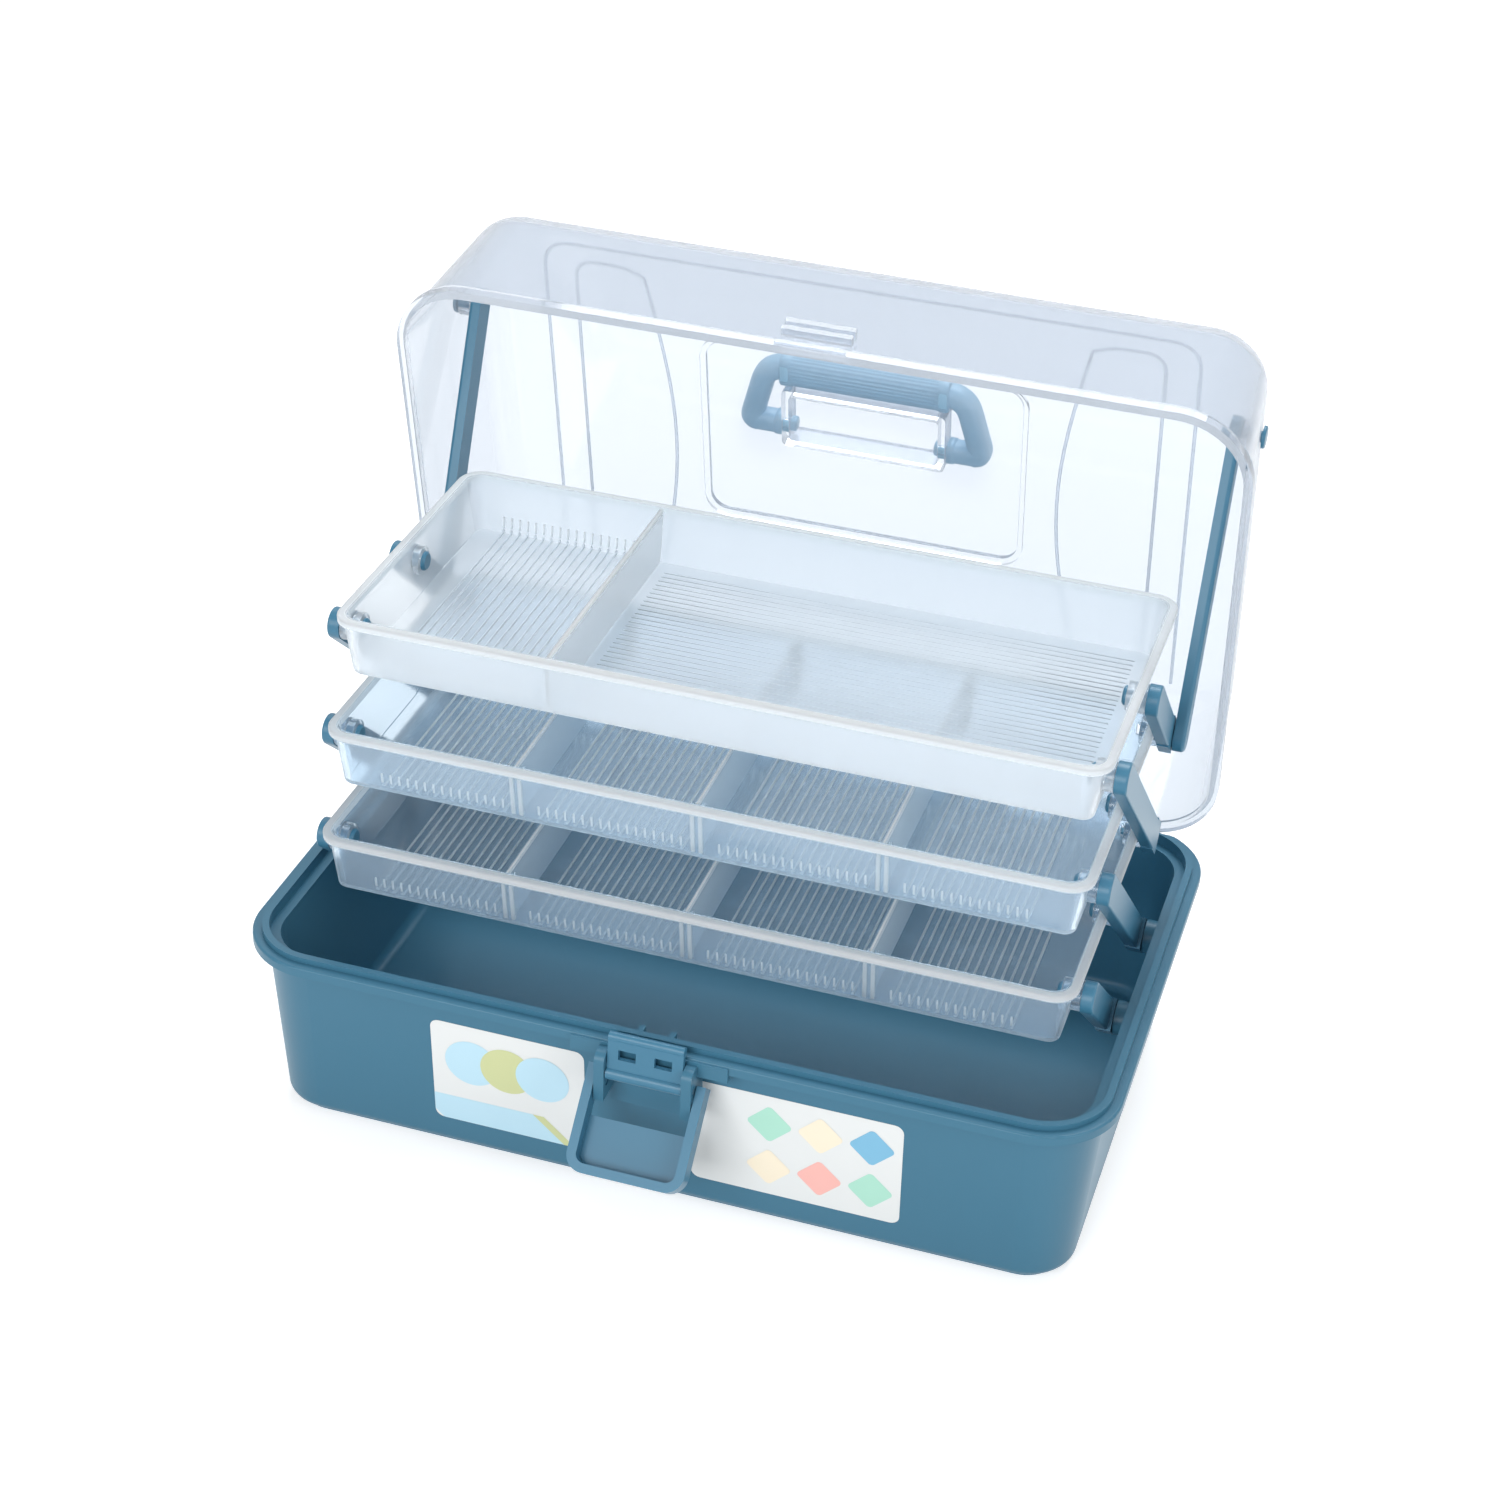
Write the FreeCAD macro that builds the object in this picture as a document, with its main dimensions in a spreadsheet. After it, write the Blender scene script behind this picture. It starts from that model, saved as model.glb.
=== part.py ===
import FreeCAD, Part
import math
import os
import re
from Sketcher import Constraint

# Compartment toolbox: bin, clear lid, three cantilever trays on links, handle and latch.
# Origin: centre of the bin's underside. +X right, +Y towards the hinge, +Z up, millimetres.
# The box stands open: the lid leans a little forward of upright and the trays are fanned out.

document = FreeCAD.newDocument("Toolbox")
sheet = document.addObject("Spreadsheet::Sheet", "Sizes")
derived = document.addObject("App::VarSet", "Derived")
V = FreeCAD.Vector

# Driving dimensions
SIZES = {
    # Bin
    "rim_length": 380.0, "rim_depth": 236.0, "rim_radius": 34.0,
    "foot_height": 3.0, "foot_inset": 5.5, "base_edge_radius": 5.0,
    "skirt_low": 84.0, "skirt_top": 88.5, "skirt_wall": 2.2, "deck_low": 86.2,
    "ridge_top": 91.0, "ridge_inset": 4.2, "ridge_width": 3.0, "ledge_level": 86.0,
    "wall_inset": 6.2, "base_draft": 5.95, "cavity_inset": 11.8, "floor_level": 5.5,
    "floor_wall": 3.2,
    "apron_half": 34.0, "apron_low": 80.5, "apron_thick": 0.9,
    # Hinge of the lid
    "hinge_inset": 3.0, "hinge_level": 90.5, "knuckle_radius": 4.0, "hinge_pin_radius": 1.75,
    "knuckle_width": 20.0, "lug_width": 9.0, "hinge_station": 105.0, "hinge_gap": 0.3,
    "relief_level": 86.6, "relief_depth": 8.5, "relief_inset": 18.0, "rail_inset": 25.0,
    "rail_depth": 7.0, "rail_gap": 1.5,
    # Lid, with its well, hub and catch
    "lid_open": 79.1, "lid_low": 88.8, "lid_top": 172.4, "lid_wall": 2.6,
    "lid_side_inset": 1.5, "lid_draft": 6.5, "lid_edge_radius": 14.0, "flange_height": 5.0,
    "flange_inner": 3.9,
    "well_half": 75.0, "well_front": 171.0, "well_rear": 75.0, "well_depth": 2.4, "well_radius": 9.0,
    "hub_half": 39.0, "hub_front": 150.0, "hub_rear": 119.0, "hub_height": 11.5, "hub_wall": 3.4,
    "catch_half": 15.5, "catch_lip": 1.5, "catch_reach": 1.7, "catch_step_low": 10.5,
    "catch_step": 3.0, "catch_pitch": 5.5, "catch_root": 4.0,
    # Handle
    "handle_pivot": 128.0, "handle_reach": 31.0, "handle_half": 61.0, "handle_bar": 11.0,
    "handle_arm": 12.5,
    "handle_radius": 14.0, "handle_edge": 4.4,
    "handle_pin_radius": 3.2, "grip_bar": 14.0, "handle_lift": 0.6,
    "handle_pin_bite": 3.0,
    # Links and their pins
    "arm_spacing": 63.0, "link_length": 70.7, "link_angle": 41.4,
    "base_pivot_back": 56.03, "base_pivot_level": 71.2, "tray_pin_offset": 7.6,
    "top_tray_pin_offset": 4.44,
    "link_gap": 0.4, "link_thick": 5.4, "link_width": 13.5, "link_rim": 1.8, "link_recess": 3.2,
    "foot_block": 1.4, "link_block_half": 7.2,
    "recess_end": 10.1, "arm_pin_radius": 3.0, "button_radius": 4.3,
    "button_thick": 1.6, "button_edge": 0.8, "pin_fit": 0.05, "side_gap": 0.3,
    "boss_radius": 6.4, "boss_proud": 0.1, "boss_reach": 8.3,
    "bin_boss_radius": 7.5, "boss_inset": 10.0, "bin_pin_reach": 4.6,
    # Trays and dividers
    "tray_room": 25.2, "tray_depth": 150.0, "tray_radius": 11.0, "tray_height": 27.7,
    "tray_rim_above_pin": 10.7, "tray_rim_height": 3.0, "tray_wall_inset": 2.5,
    "tray_draft": 3.4, "tray_wall": 1.8, "tray_floor": 2.0, "tray_rim_lip": 1.2,
    "guide_width": 1.4, "guide_depth": 2.6, "guide_low": 3.0, "slot_width": 2.0,
    "divider_thick": 1.5, "divider_drop": 0.5, "divider_gap": 0.3, "cross_wall": 1.8,
    "divider_first": -79.0, "divider_second": 0.0,
    "divider_third": 79.0, "top_divider": -70.0,
    # Struts
    "strut_washer": 0.5, "strut_thick": 5.4, "strut_width": 12.5, "strut_pin_radius": 2.5,
    "strut_height": 188.0, "strut_back": 53.0, "strut_drop": 4.0, "lid_boss_radius": 5.6,
    "strut_head_radius": 5.0, "strut_head_thick": 1.6,
    # Latch
    "bracket_half": 16.6, "ear_thick": 4.4, "ear_reach": 8.5, "ear_low": 63.0, "ear_top": 86.0,
    "back_plate_low": 55.0, "back_plate_inset": 3.5, "root_inset": 9.5,
    "latch_pin_reach": 5.0, "latch_pin_level": 76.0, "latch_pin_radius": 1.3,
    "clasp_height": 17.0, "clasp_thick": 2.4, "clasp_lean": 7.0, "clasp_roll": 2.1,
    "clasp_half": 16.3, "clasp_knuckle": 2.9, "window_width": 7.6, "window_height": 4.6,
    "window_place": 7.8,
    "lever_pivot_reach": 4.0, "lever_pivot_level": 70.5, "lever_pivot_depth": 6.0,
    "lever_side": 4.0, "lever_length": 39.0, "lever_head": 6.0, "lever_lean": 43.0,
    "lever_depth": 8.5, "lever_half": 25.4, "lever_radius": 8.0, "lever_panel": 2.2,
    "lever_panel_height": 24.0, "lever_pin_radius": 2.0,
    # How far a pad sinks into what carries it, and how far a cut runs past its face
    "seat": 0.5, "overrun": 1.0,
}


def fill_sheet():
    for number, (name, size) in enumerate(SIZES.items()):
        cell = "B%d" % (number + 1)
        sheet.set("A%d" % (number + 1), name)
        sheet.set(cell, str(size))
        sheet.setAlias(cell, name)
    document.recompute()


def value(name):
    # Number of a driving size or of one worked out from them.
    owner = sheet if name in SIZES else derived
    return float(getattr(owner, name))


def path(name):
    return ("Sizes." if name in SIZES else "Derived.") + name


def derive(name, expression):
    # A size that follows from the driving ones, bound by an expression.
    derived.addProperty("App::PropertyFloat", name, "Derived")
    known = SIZES.keys() | set(DERIVED)
    bound = re.sub("[a-z_]+", lambda m: path(m.group()) if m.group() in known else m.group(), expression)
    derived.setExpression(name, bound)
    DERIVED.append(name)


DERIVED = []
fill_sheet()

derive("hinge_back", "rim_depth / 2 - hinge_inset")
derive("relief_front", "rim_depth / 2 - relief_depth")
derive("relief_half", "rim_length / 2 - relief_inset")
derive("rail_half", "rim_length / 2 - rail_inset")
derive("rail_front", "rim_depth / 2 - rail_depth")
derive("rail_rear", "rim_depth / 2 - rail_gap")
derive("ear_front", "rim_depth / 2 + ear_reach")
derive("back_plate_face", "rim_depth / 2 - back_plate_inset")
derive("bracket_root", "rim_depth / 2 - root_inset")
derive("latch_pin_front", "rim_depth / 2 + latch_pin_reach")
derive("lever_pivot_front", "rim_depth / 2 + lever_pivot_reach")
derive("tray_length", "rim_length - 2 * tray_room")
derive("link_inner", "tray_length / 2 + link_gap")
derive("tray_boss_outer", "tray_length / 2 + boss_proud")
derive("tray_boss_inner", "tray_boss_outer - boss_reach")
derive("bin_boss_outer", "rim_length / 2 - boss_inset")
derive("base_low_length", "rim_length - 2 * wall_inset - 2 * base_draft")
derive("base_low_depth", "rim_depth - 2 * wall_inset - 2 * base_draft")
derive("base_corner", "rim_radius - wall_inset - base_draft")
derive("bin_angle", "atan(base_draft / (deck_low - foot_height)) / 1deg")
derive("foot_length", "base_low_length - 2 * foot_inset")
derive("foot_depth", "base_low_depth - 2 * foot_inset")
derive("foot_corner", "base_corner - foot_inset")
derive("skirt_inner_length", "rim_length - 2 * skirt_wall")
derive("skirt_inner_depth", "rim_depth - 2 * skirt_wall")
derive("skirt_inner_corner", "rim_radius - skirt_wall")
derive("ridge_length", "rim_length - 2 * ridge_inset")
derive("ridge_depth", "rim_depth - 2 * ridge_inset")
derive("ridge_corner", "rim_radius - ridge_inset")
derive("ledge_length", "ridge_length - 2 * ridge_width")
derive("ledge_depth", "ridge_depth - 2 * ridge_width")
derive("ledge_corner", "ridge_corner - ridge_width")
derive("cavity_length", "rim_length - 2 * cavity_inset")
derive("cavity_depth", "rim_depth - 2 * cavity_inset")
derive("floor_length", "base_low_length - 2 * floor_wall")
derive("floor_depth", "base_low_depth - 2 * floor_wall")
derive("cavity_angle", "atan((cavity_length - floor_length) / 2 / (ledge_level - floor_level)) / 1deg")
derive("floor_corner", "base_corner - floor_wall")
derive("link_outer", "link_inner + link_thick")
derive("block_outer", "link_outer + foot_block")
derive("bin_boss_inner", "block_outer + side_gap")
derive("arm_bore_radius", "arm_pin_radius + pin_fit")
derive("shelf_step", "link_length * sin(link_angle * 1deg)")
derive("shelf_shift", "arm_spacing - link_length * cos(link_angle * 1deg)")
derive("tray_pin_level", "base_pivot_level + shelf_step")
derive("first_pin_back", "base_pivot_back - link_length * cos(link_angle * 1deg)")
derive("tray_wall_length", "tray_length - 2 * tray_wall_inset")
derive("tray_wall_depth", "tray_depth - 2 * tray_wall_inset")
derive("tray_wall_corner", "tray_radius - tray_wall_inset")
derive("tray_low_length", "tray_wall_length - 2 * tray_draft")
derive("tray_low_depth", "tray_wall_depth - 2 * tray_draft")
derive("tray_floor_length", "tray_low_length - 2 * tray_wall")
derive("tray_floor_depth", "tray_low_depth - 2 * tray_wall")
derive("tray_underside", "tray_rim_above_pin - tray_height")
derive("tray_floor_level", "tray_underside + tray_floor")
derive("tray_rim_low", "tray_rim_above_pin - tray_rim_height")
derive("tray_angle", "atan(tray_draft / (tray_rim_low - tray_underside)) / 1deg")
derive("lid_floor_level", "lid_low - hinge_level")
derive("lid_roof", "lid_top - hinge_level")
derive("lid_ceiling", "lid_roof - lid_wall")
derive("lid_angle", "atan(lid_draft / (lid_roof - lid_floor_level)) / 1deg")
derive("lid_low_length", "rim_length - 2 * lid_side_inset")
derive("lid_low_depth", "rim_depth - 2 * lid_side_inset")
derive("lid_low_corner", "rim_radius - lid_side_inset")
derive("lid_inner_length", "rim_length - 2 * flange_inner")
derive("lid_inner_depth", "rim_depth - 2 * flange_inner")
derive("lid_inner_corner", "rim_radius - flange_inner")
derive("lid_centre", "0 - hinge_back")
derive("strut_inner", "link_outer + strut_washer")
derive("strut_outer", "strut_inner + strut_thick")
derive("strut_bore_radius", "strut_pin_radius + pin_fit")
derive("handle_bore_radius", "handle_pin_radius + pin_fit")
derive("lever_bore_radius", "lever_pin_radius + pin_fit")
derive("latch_bore_radius", "latch_pin_radius + pin_fit")
derive("hinge_bore_radius", "hinge_pin_radius + pin_fit")
derive("well_length", "2 * well_half")
derive("well_depth_along", "well_front - well_rear")
derive("well_centre", "0 - (well_front + well_rear) / 2")
derive("well_case_length", "well_length + 2 * lid_wall")
derive("well_case_depth", "well_depth_along + 2 * lid_wall")
derive("well_case_radius", "well_radius + lid_wall")
derive("well_floor", "lid_roof - well_depth")
derive("well_underside", "well_floor - lid_wall")
derive("hub_length", "2 * hub_half")
derive("hub_depth", "hub_front - hub_rear")
derive("hub_centre", "0 - (hub_front + hub_rear) / 2")
derive("hub_corner", "0.8 * hub_wall")
derive("hub_top", "well_floor + hub_height")
derive("hub_pocket_length", "hub_length - 2 * hub_wall")
derive("hub_pocket_depth", "hub_depth - 2 * hub_wall")
derive("hub_pocket_corner", "hub_wall / 2")
derive("handle_level", "well_floor + handle_lift + handle_bar / 2")
derive("handle_line", "0 - handle_pivot")
derive("tray_low_corner", "tray_wall_corner - tray_draft")
derive("tray_floor_corner", "tray_low_corner - tray_wall / 2")
derive("middle_pin_back", "first_pin_back + shelf_shift")
derive("upper_pin_back", "middle_pin_back + shelf_shift")
derive("middle_pin_level", "tray_pin_level + shelf_step")
derive("upper_pin_level", "middle_pin_level + shelf_step")
derive("lower_centre", "first_pin_back - tray_pin_offset")
derive("middle_centre", "middle_pin_back - tray_pin_offset")
derive("upper_centre", "upper_pin_back - top_tray_pin_offset")
derive("handle_outer_length", "2 * handle_half")
derive("handle_outer_depth", "handle_reach + handle_bar")
derive("handle_inner_length", "2 * handle_half - 2 * handle_arm")
derive("handle_inner_depth", "handle_reach - grip_bar / 2 - handle_bar / 2")
derive("handle_inner_radius", "handle_radius / 2")
derive("handle_centre", "0 - handle_reach / 2")
derive("handle_inner_centre", "0 - (handle_bar / 2 + handle_inner_depth / 2)")
derive("second_rear_back", "middle_pin_back + arm_spacing")
derive("lean_cosine", "cos(lid_open * 1deg)")
derive("lean_sine", "sin(lid_open * 1deg)")
derive("strut_top_back", "hinge_back - strut_height * lean_cosine + strut_back * lean_sine")
derive("strut_top_level", "hinge_level + strut_height * lean_sine + strut_back * lean_cosine")
derive("strut_foot_back", "second_rear_back + strut_drop * cos(link_angle * 1deg)")
derive("strut_foot_level", "middle_pin_level - strut_drop * sin(link_angle * 1deg)")
derive("strut_run", "strut_top_back - strut_foot_back")
derive("strut_rise", "strut_top_level - strut_foot_level")
derive("strut_length", "sqrt(strut_run^2 + strut_rise^2)")
derive("strut_wall", "lid_low_length / 2 - (strut_back - lid_floor_level) * tan(lid_angle * 1deg)")
document.recompute()


def origin_plane(body, role):
    for feature in body.Origin.OriginFeatures:
        if feature.Role == role:
            return feature
    raise RuntimeError("no origin plane " + role)


def new_body(label):
    body = document.addObject("PartDesign::Body", "Body_" + label)
    body.Label = label
    return body


def new_sketch(body, name, role, offset=None):
    # Sketch on one of the body's own planes, moved off it by a bound size where one is given.
    sketch = body.newObject("Sketcher::SketchObject", body.Label + "_" + name)
    sketch.AttachmentSupport = [(origin_plane(body, role), "")]
    sketch.MapMode = "FlatFace"
    if offset:
        sketch.setExpression("AttachmentOffset.Base.z", path(offset))
    return sketch


def line(sketch, a, b):
    return sketch.addGeometry(Part.LineSegment(V(a[0], a[1], 0), V(b[0], b[1], 0)), False)


def bind(sketch, constraint, name, expression):
    number = sketch.addConstraint(constraint)
    sketch.renameConstraint(number, name)
    if expression:
        sketch.setExpression("Constraints." + name, expression)


def rounded(sketch, tag, length, depth, radius, centre=None):
    # Rounded rectangle: four lines and four equal tangent corner arcs, its middle on the Y axis.
    a = value(length) / 2
    b = value(depth) / 2
    r = value(radius)
    c = value(centre) if centre else 0.0
    sides = []
    arcs = []
    ends = [((-a + r, c - b), (a - r, c - b)), ((a, c - b + r), (a, c + b - r)),
            ((a - r, c + b), (-a + r, c + b)), ((-a, c + b - r), (-a, c - b + r))]
    for start, end in ends:
        sides.append(line(sketch, start, end))
    centres = [(a - r, c - b + r, -90), (a - r, c + b - r, 0), (-a + r, c + b - r, 90),
               (-a + r, c - b + r, 180)]
    for x, y, turn in centres:
        circle = Part.Circle(V(x, y, 0), V(0, 0, 1), r)
        first = math.radians(turn)
        arcs.append(sketch.addGeometry(Part.ArcOfCircle(circle, first, first + math.pi / 2), False))
    for k in range(4):
        sketch.addConstraint(Constraint("Tangent", sides[k], 2, arcs[k], 1))
        sketch.addConstraint(Constraint("Tangent", arcs[k], 2, sides[(k + 1) % 4], 1))
    sketch.addConstraint(Constraint("Horizontal", sides[2]))
    for k in (1, 3):
        sketch.addConstraint(Constraint("Vertical", sides[k]))
    for k in (1, 2, 3):
        sketch.addConstraint(Constraint("Equal", arcs[0], arcs[k]))
    sketch.addConstraint(Constraint("Symmetric", sides[0], 1, sides[0], 2, -2))
    bind(sketch, Constraint("Radius", arcs[0], r), tag + "_corner", path(radius))
    bind(sketch, Constraint("DistanceX", sides[3], 1, sides[1], 1, 2 * a), tag + "_length", path(length))
    bind(sketch, Constraint("DistanceY", sides[0], 1, sides[2], 1, 2 * b), tag + "_depth", path(depth))
    middle = path(centre) if centre else "0"
    bind(sketch, Constraint("DistanceY", -1, 1, sides[2], 1, c + b), tag + "_rear",
         middle + " + " + path(depth) + " / 2")


def rectangle(sketch, tag, low, high):
    # Rectangle between two corners, each given as a pair of expressions with their numbers.
    (x0, x0_words), (y0, y0_words) = low
    (x1, x1_words), (y1, y1_words) = high
    corners = [(x0, y0), (x1, y0), (x1, y1), (x0, y1)]
    sides = [line(sketch, corners[k], corners[(k + 1) % 4]) for k in range(4)]
    for k in range(4):
        sketch.addConstraint(Constraint("Coincident", sides[k], 2, sides[(k + 1) % 4], 1))
    for k in (0, 2):
        sketch.addConstraint(Constraint("Horizontal", sides[k]))
        sketch.addConstraint(Constraint("Vertical", sides[k + 1]))
    bind(sketch, Constraint("DistanceX", -1, 1, sides[0], 1, x0), tag + "_left", x0_words)
    bind(sketch, Constraint("DistanceY", -1, 1, sides[0], 1, y0), tag + "_low", y0_words)
    bind(sketch, Constraint("DistanceX", -1, 1, sides[2], 1, x1), tag + "_right", x1_words)
    bind(sketch, Constraint("DistanceY", -1, 1, sides[2], 1, y1), tag + "_high", y1_words)


def circle(sketch, tag, radius, across, along):
    # Circle of a bound radius round a point given as two pairs of number and expression.
    round_line = Part.Circle(V(across[0], along[0], 0), V(0, 0, 1), value(radius))
    number = sketch.addGeometry(round_line, False)
    bind(sketch, Constraint("Radius", number, value(radius)), tag + "_radius", path(radius))
    bind(sketch, Constraint("DistanceX", -1, 1, number, 3, across[0]), tag + "_across", across[1])
    bind(sketch, Constraint("DistanceY", -1, 1, number, 3, along[0]), tag + "_along", along[1])


def named(name, factor=1.0, plus=0.0):
    # A size as a pair of its number and its expression.
    words = "%g * %s + %g" % (factor, path(name), plus) if factor != 1.0 or plus else path(name)
    return (factor * value(name) + plus, words)


def plain(number):
    return (number, "%g" % number)


def pad(body, sketch, length, backwards=False, cut=False):
    # Pad or pocket of a sketch; length is an expression in words.
    kind = "PartDesign::Pocket" if cut else "PartDesign::Pad"
    feature = body.newObject(kind, sketch.Name + ("_cut" if cut else "_pad"))
    feature.Profile = sketch
    feature.setExpression("Length", length)
    feature.Reversed = backwards
    document.recompute()
    return feature


def tapered(body, sketch, length, angle, widening):
    # Pad of an outline whose side faces lean out or in by a draft angle, true at the sketch.
    straight = pad(body, sketch, length)
    sides = []
    start = None
    level = sketch.Placement.Base.z
    for number, face in enumerate(straight.Shape.Faces):
        middle = face.CenterOfMass
        if abs(face.normalAt(0.5, 0.5).z) < 0.5:
            sides.append("Face%d" % (number + 1))
        elif abs(middle.z - level) < 0.01:
            start = "Face%d" % (number + 1)
    feature = body.newObject("PartDesign::Draft", sketch.Name + "_draft")
    feature.Base = (straight, sides)
    feature.NeutralPlane = (straight, [start])
    feature.setExpression("Angle", angle)
    feature.Reversed = widening
    document.recompute()
    return feature


def edges_where(shape, test):
    names = []
    for number, edge in enumerate(shape.Edges):
        points = [vertex.Point for vertex in edge.Vertexes]
        points.append(edge.valueAt((edge.FirstParameter + edge.LastParameter) / 2))
        if all(test(point) for point in points):
            names.append("Edge%d" % (number + 1))
    return names


def fillet(body, base, test, radius):
    names = edges_where(base.Shape, test)
    feature = body.newObject("PartDesign::Fillet", base.Name + "_round")
    feature.Base = (base, names)
    feature.setExpression("Radius", radius)
    document.recompute()
    return feature


def chamfer(body, base, test, size):
    feature = body.newObject("PartDesign::Chamfer", base.Name + "_edge")
    feature.Base = (base, edges_where(base.Shape, test))
    feature.setExpression("Size", size)
    document.recompute()
    return feature


def take_out(body, tool):
    # Cut a tool body out of a body.
    feature = body.newObject("PartDesign::Boolean", tool.Name + "_out")
    feature.Type = "Cut"
    feature.addObjects([tool])
    document.recompute()
    return feature


def near(number, target):
    return abs(number - target) < 0.02


# Bin
bin_body = new_body("base_bin")
low_outline = new_sketch(bin_body, "underside", "XY_Plane", "foot_height")
rounded(low_outline, "underside", "base_low_length", "base_low_depth", "base_corner")
shell = tapered(bin_body, low_outline, "Sizes.deck_low - Sizes.foot_height",
                "Derived.bin_angle", True)
fillet(bin_body, shell, lambda p: near(p.z, value("foot_height")), "Sizes.base_edge_radius")
foot = new_sketch(bin_body, "foot", "XY_Plane")
rounded(foot, "foot", "foot_length", "foot_depth", "foot_corner")
pad(bin_body, foot, "Sizes.foot_height + Sizes.seat")
deck = new_sketch(bin_body, "deck", "XY_Plane", "deck_low")
rounded(deck, "deck", "rim_length", "rim_depth", "rim_radius")
pad(bin_body, deck, "Sizes.skirt_top - Sizes.deck_low")
skirt = new_sketch(bin_body, "skirt", "XY_Plane", "skirt_low")
rounded(skirt, "outer", "rim_length", "rim_depth", "rim_radius")
rounded(skirt, "inner", "skirt_inner_length", "skirt_inner_depth", "skirt_inner_corner")
skirt_pad = pad(bin_body, skirt, "Sizes.deck_low - Sizes.skirt_low")
fillet(bin_body, skirt_pad, lambda p: near(p.z, value("skirt_top")), "Sizes.skirt_wall / 2")
ridge = new_sketch(bin_body, "ridge", "XY_Plane", "skirt_top")
rounded(ridge, "ridge", "ridge_length", "ridge_depth", "ridge_corner")
pad(bin_body, ridge, "Sizes.ridge_top - Sizes.skirt_top")
ledge = new_sketch(bin_body, "ledge", "XY_Plane", "ridge_top")
rounded(ledge, "ledge", "ledge_length", "ledge_depth", "ledge_corner")
pad(bin_body, ledge, "Sizes.ridge_top - Sizes.ledge_level", cut=True)
bin_hollow = new_body("bin_hollow")
cavity_floor = new_sketch(bin_hollow, "floor", "XY_Plane", "floor_level")
rounded(cavity_floor, "floor", "floor_length", "floor_depth", "floor_corner")
hollow = tapered(bin_hollow, cavity_floor, "Sizes.ledge_level - Sizes.floor_level",
                 "Derived.cavity_angle", True)
fillet(bin_hollow, hollow, lambda p: near(p.z, value("floor_level")), "Sizes.base_edge_radius")
take_out(bin_body, bin_hollow)

# Apron of the rim behind the latch, and the two stop tabs inside it
apron = new_sketch(bin_body, "apron", "XY_Plane", "apron_low")
rectangle(apron, "apron", (named("apron_half", -1), named("rim_depth", -0.5, -value("apron_thick"))),
          (named("apron_half"), named("rim_depth", -0.5, value("skirt_wall"))))
pad(bin_body, apron, "Sizes.skirt_top - Sizes.apron_low - 1")
tabs = new_sketch(bin_body, "tabs", "XY_Plane", "ledge_level")
for tag, left in (("left", -8.0), ("right", 5.5)):
    rectangle(tabs, tag, (plain(left), named("cavity_depth", -0.5)),
              (plain(left + 2.5), named("ledge_depth", -0.5, 0.5)))
pad(bin_body, tabs, "Sizes.ridge_top - Sizes.ledge_level - 0.6")

# Lower pivot bosses for the links, one pair on each side wall
for side, label in ((1, "right"), (-1, "left")):
    bosses = new_sketch(bin_body, "bosses_" + label, "YZ_Plane")
    bosses.setExpression("AttachmentOffset.Base.z", "%d * Derived.bin_boss_inner" % side)
    rear = named("base_pivot_back")
    front = (value("base_pivot_back") - value("arm_spacing"),
             "Sizes.base_pivot_back - Sizes.arm_spacing")
    for tag, back in (("rear", rear), ("front", front)):
        circle(bosses, tag, "bin_boss_radius", back, named("base_pivot_level"))
    pad(bin_body, bosses, "Derived.bin_boss_outer - Derived.bin_boss_inner", side < 0)
    bores = new_sketch(bin_body, "bores_" + label, "YZ_Plane")
    bores.setExpression("AttachmentOffset.Base.z", "%d * Derived.bin_boss_inner" % side)
    for tag, back in (("rear", rear), ("front", front)):
        circle(bores, tag, "arm_bore_radius", back, named("base_pivot_level"))
    pad(bin_body, bores, "Sizes.bin_pin_reach + 0.4", side > 0, cut=True)


def barrel(body, name, starts, width):
    # Hinge barrels about the hinge line, each padded from its own start along X.
    for number, start in enumerate(starts):
        ring = new_sketch(body, "%s_%d" % (name, number), "YZ_Plane")
        ring.AttachmentOffset = FreeCAD.Placement(V(0, 0, start), FreeCAD.Rotation())
        across = plain(0.0) if body is not bin_body else named("hinge_back")
        along = plain(0.0) if body is not bin_body else named("hinge_level")
        circle(ring, "barrel", "knuckle_radius", across, along)
        pad(body, ring, width)


# Gaps for the lid's knuckles, the rear rim lowered for the lid's swing, and the bin's lugs
half_knuckle = value("knuckle_width") / 2
lug_starts = []
notches = new_sketch(bin_body, "knuckle_gaps", "XY_Plane", "skirt_low")
for station in (-1, 1):
    centre = station * value("hinge_station")
    lug_starts.append(centre - half_knuckle - value("hinge_gap") - value("lug_width"))
    lug_starts.append(centre + half_knuckle + value("hinge_gap"))
    rectangle(notches, "gap_%s" % ("left" if station < 0 else "right"),
              (plain(centre - half_knuckle - value("hinge_gap")),
               named("hinge_back", 1, -value("knuckle_radius") - 0.4)),
              (plain(centre + half_knuckle + value("hinge_gap")), named("rim_depth", 0.5, 1.0)))
pad(bin_body, notches, "Sizes.ridge_top - Sizes.skirt_low + 1", backwards=True, cut=True)
relief = new_sketch(bin_body, "rear_relief", "XY_Plane", "relief_level")
rectangle(relief, "relief", (named("relief_half", -1), named("relief_front")),
          (named("relief_half"), named("rim_depth", 0.5, value("overrun"))))
pad(bin_body, relief, "Sizes.ridge_top - Sizes.relief_level + Sizes.overrun", True, cut=True)
rail = new_sketch(bin_body, "rear_rail", "XY_Plane", "skirt_low")
gap_half = half_knuckle + value("hinge_gap")
for tag, left, right in (
        ("left", -value("rail_half"), -value("hinge_station") - gap_half),
        ("middle", -value("hinge_station") + gap_half, value("hinge_station") - gap_half),
        ("right", value("hinge_station") + gap_half, value("rail_half"))):
    rectangle(rail, tag, (plain(left), named("rail_front")), (plain(right), named("rail_rear")))
pad(bin_body, rail, "Sizes.relief_level - Sizes.skirt_low")
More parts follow.
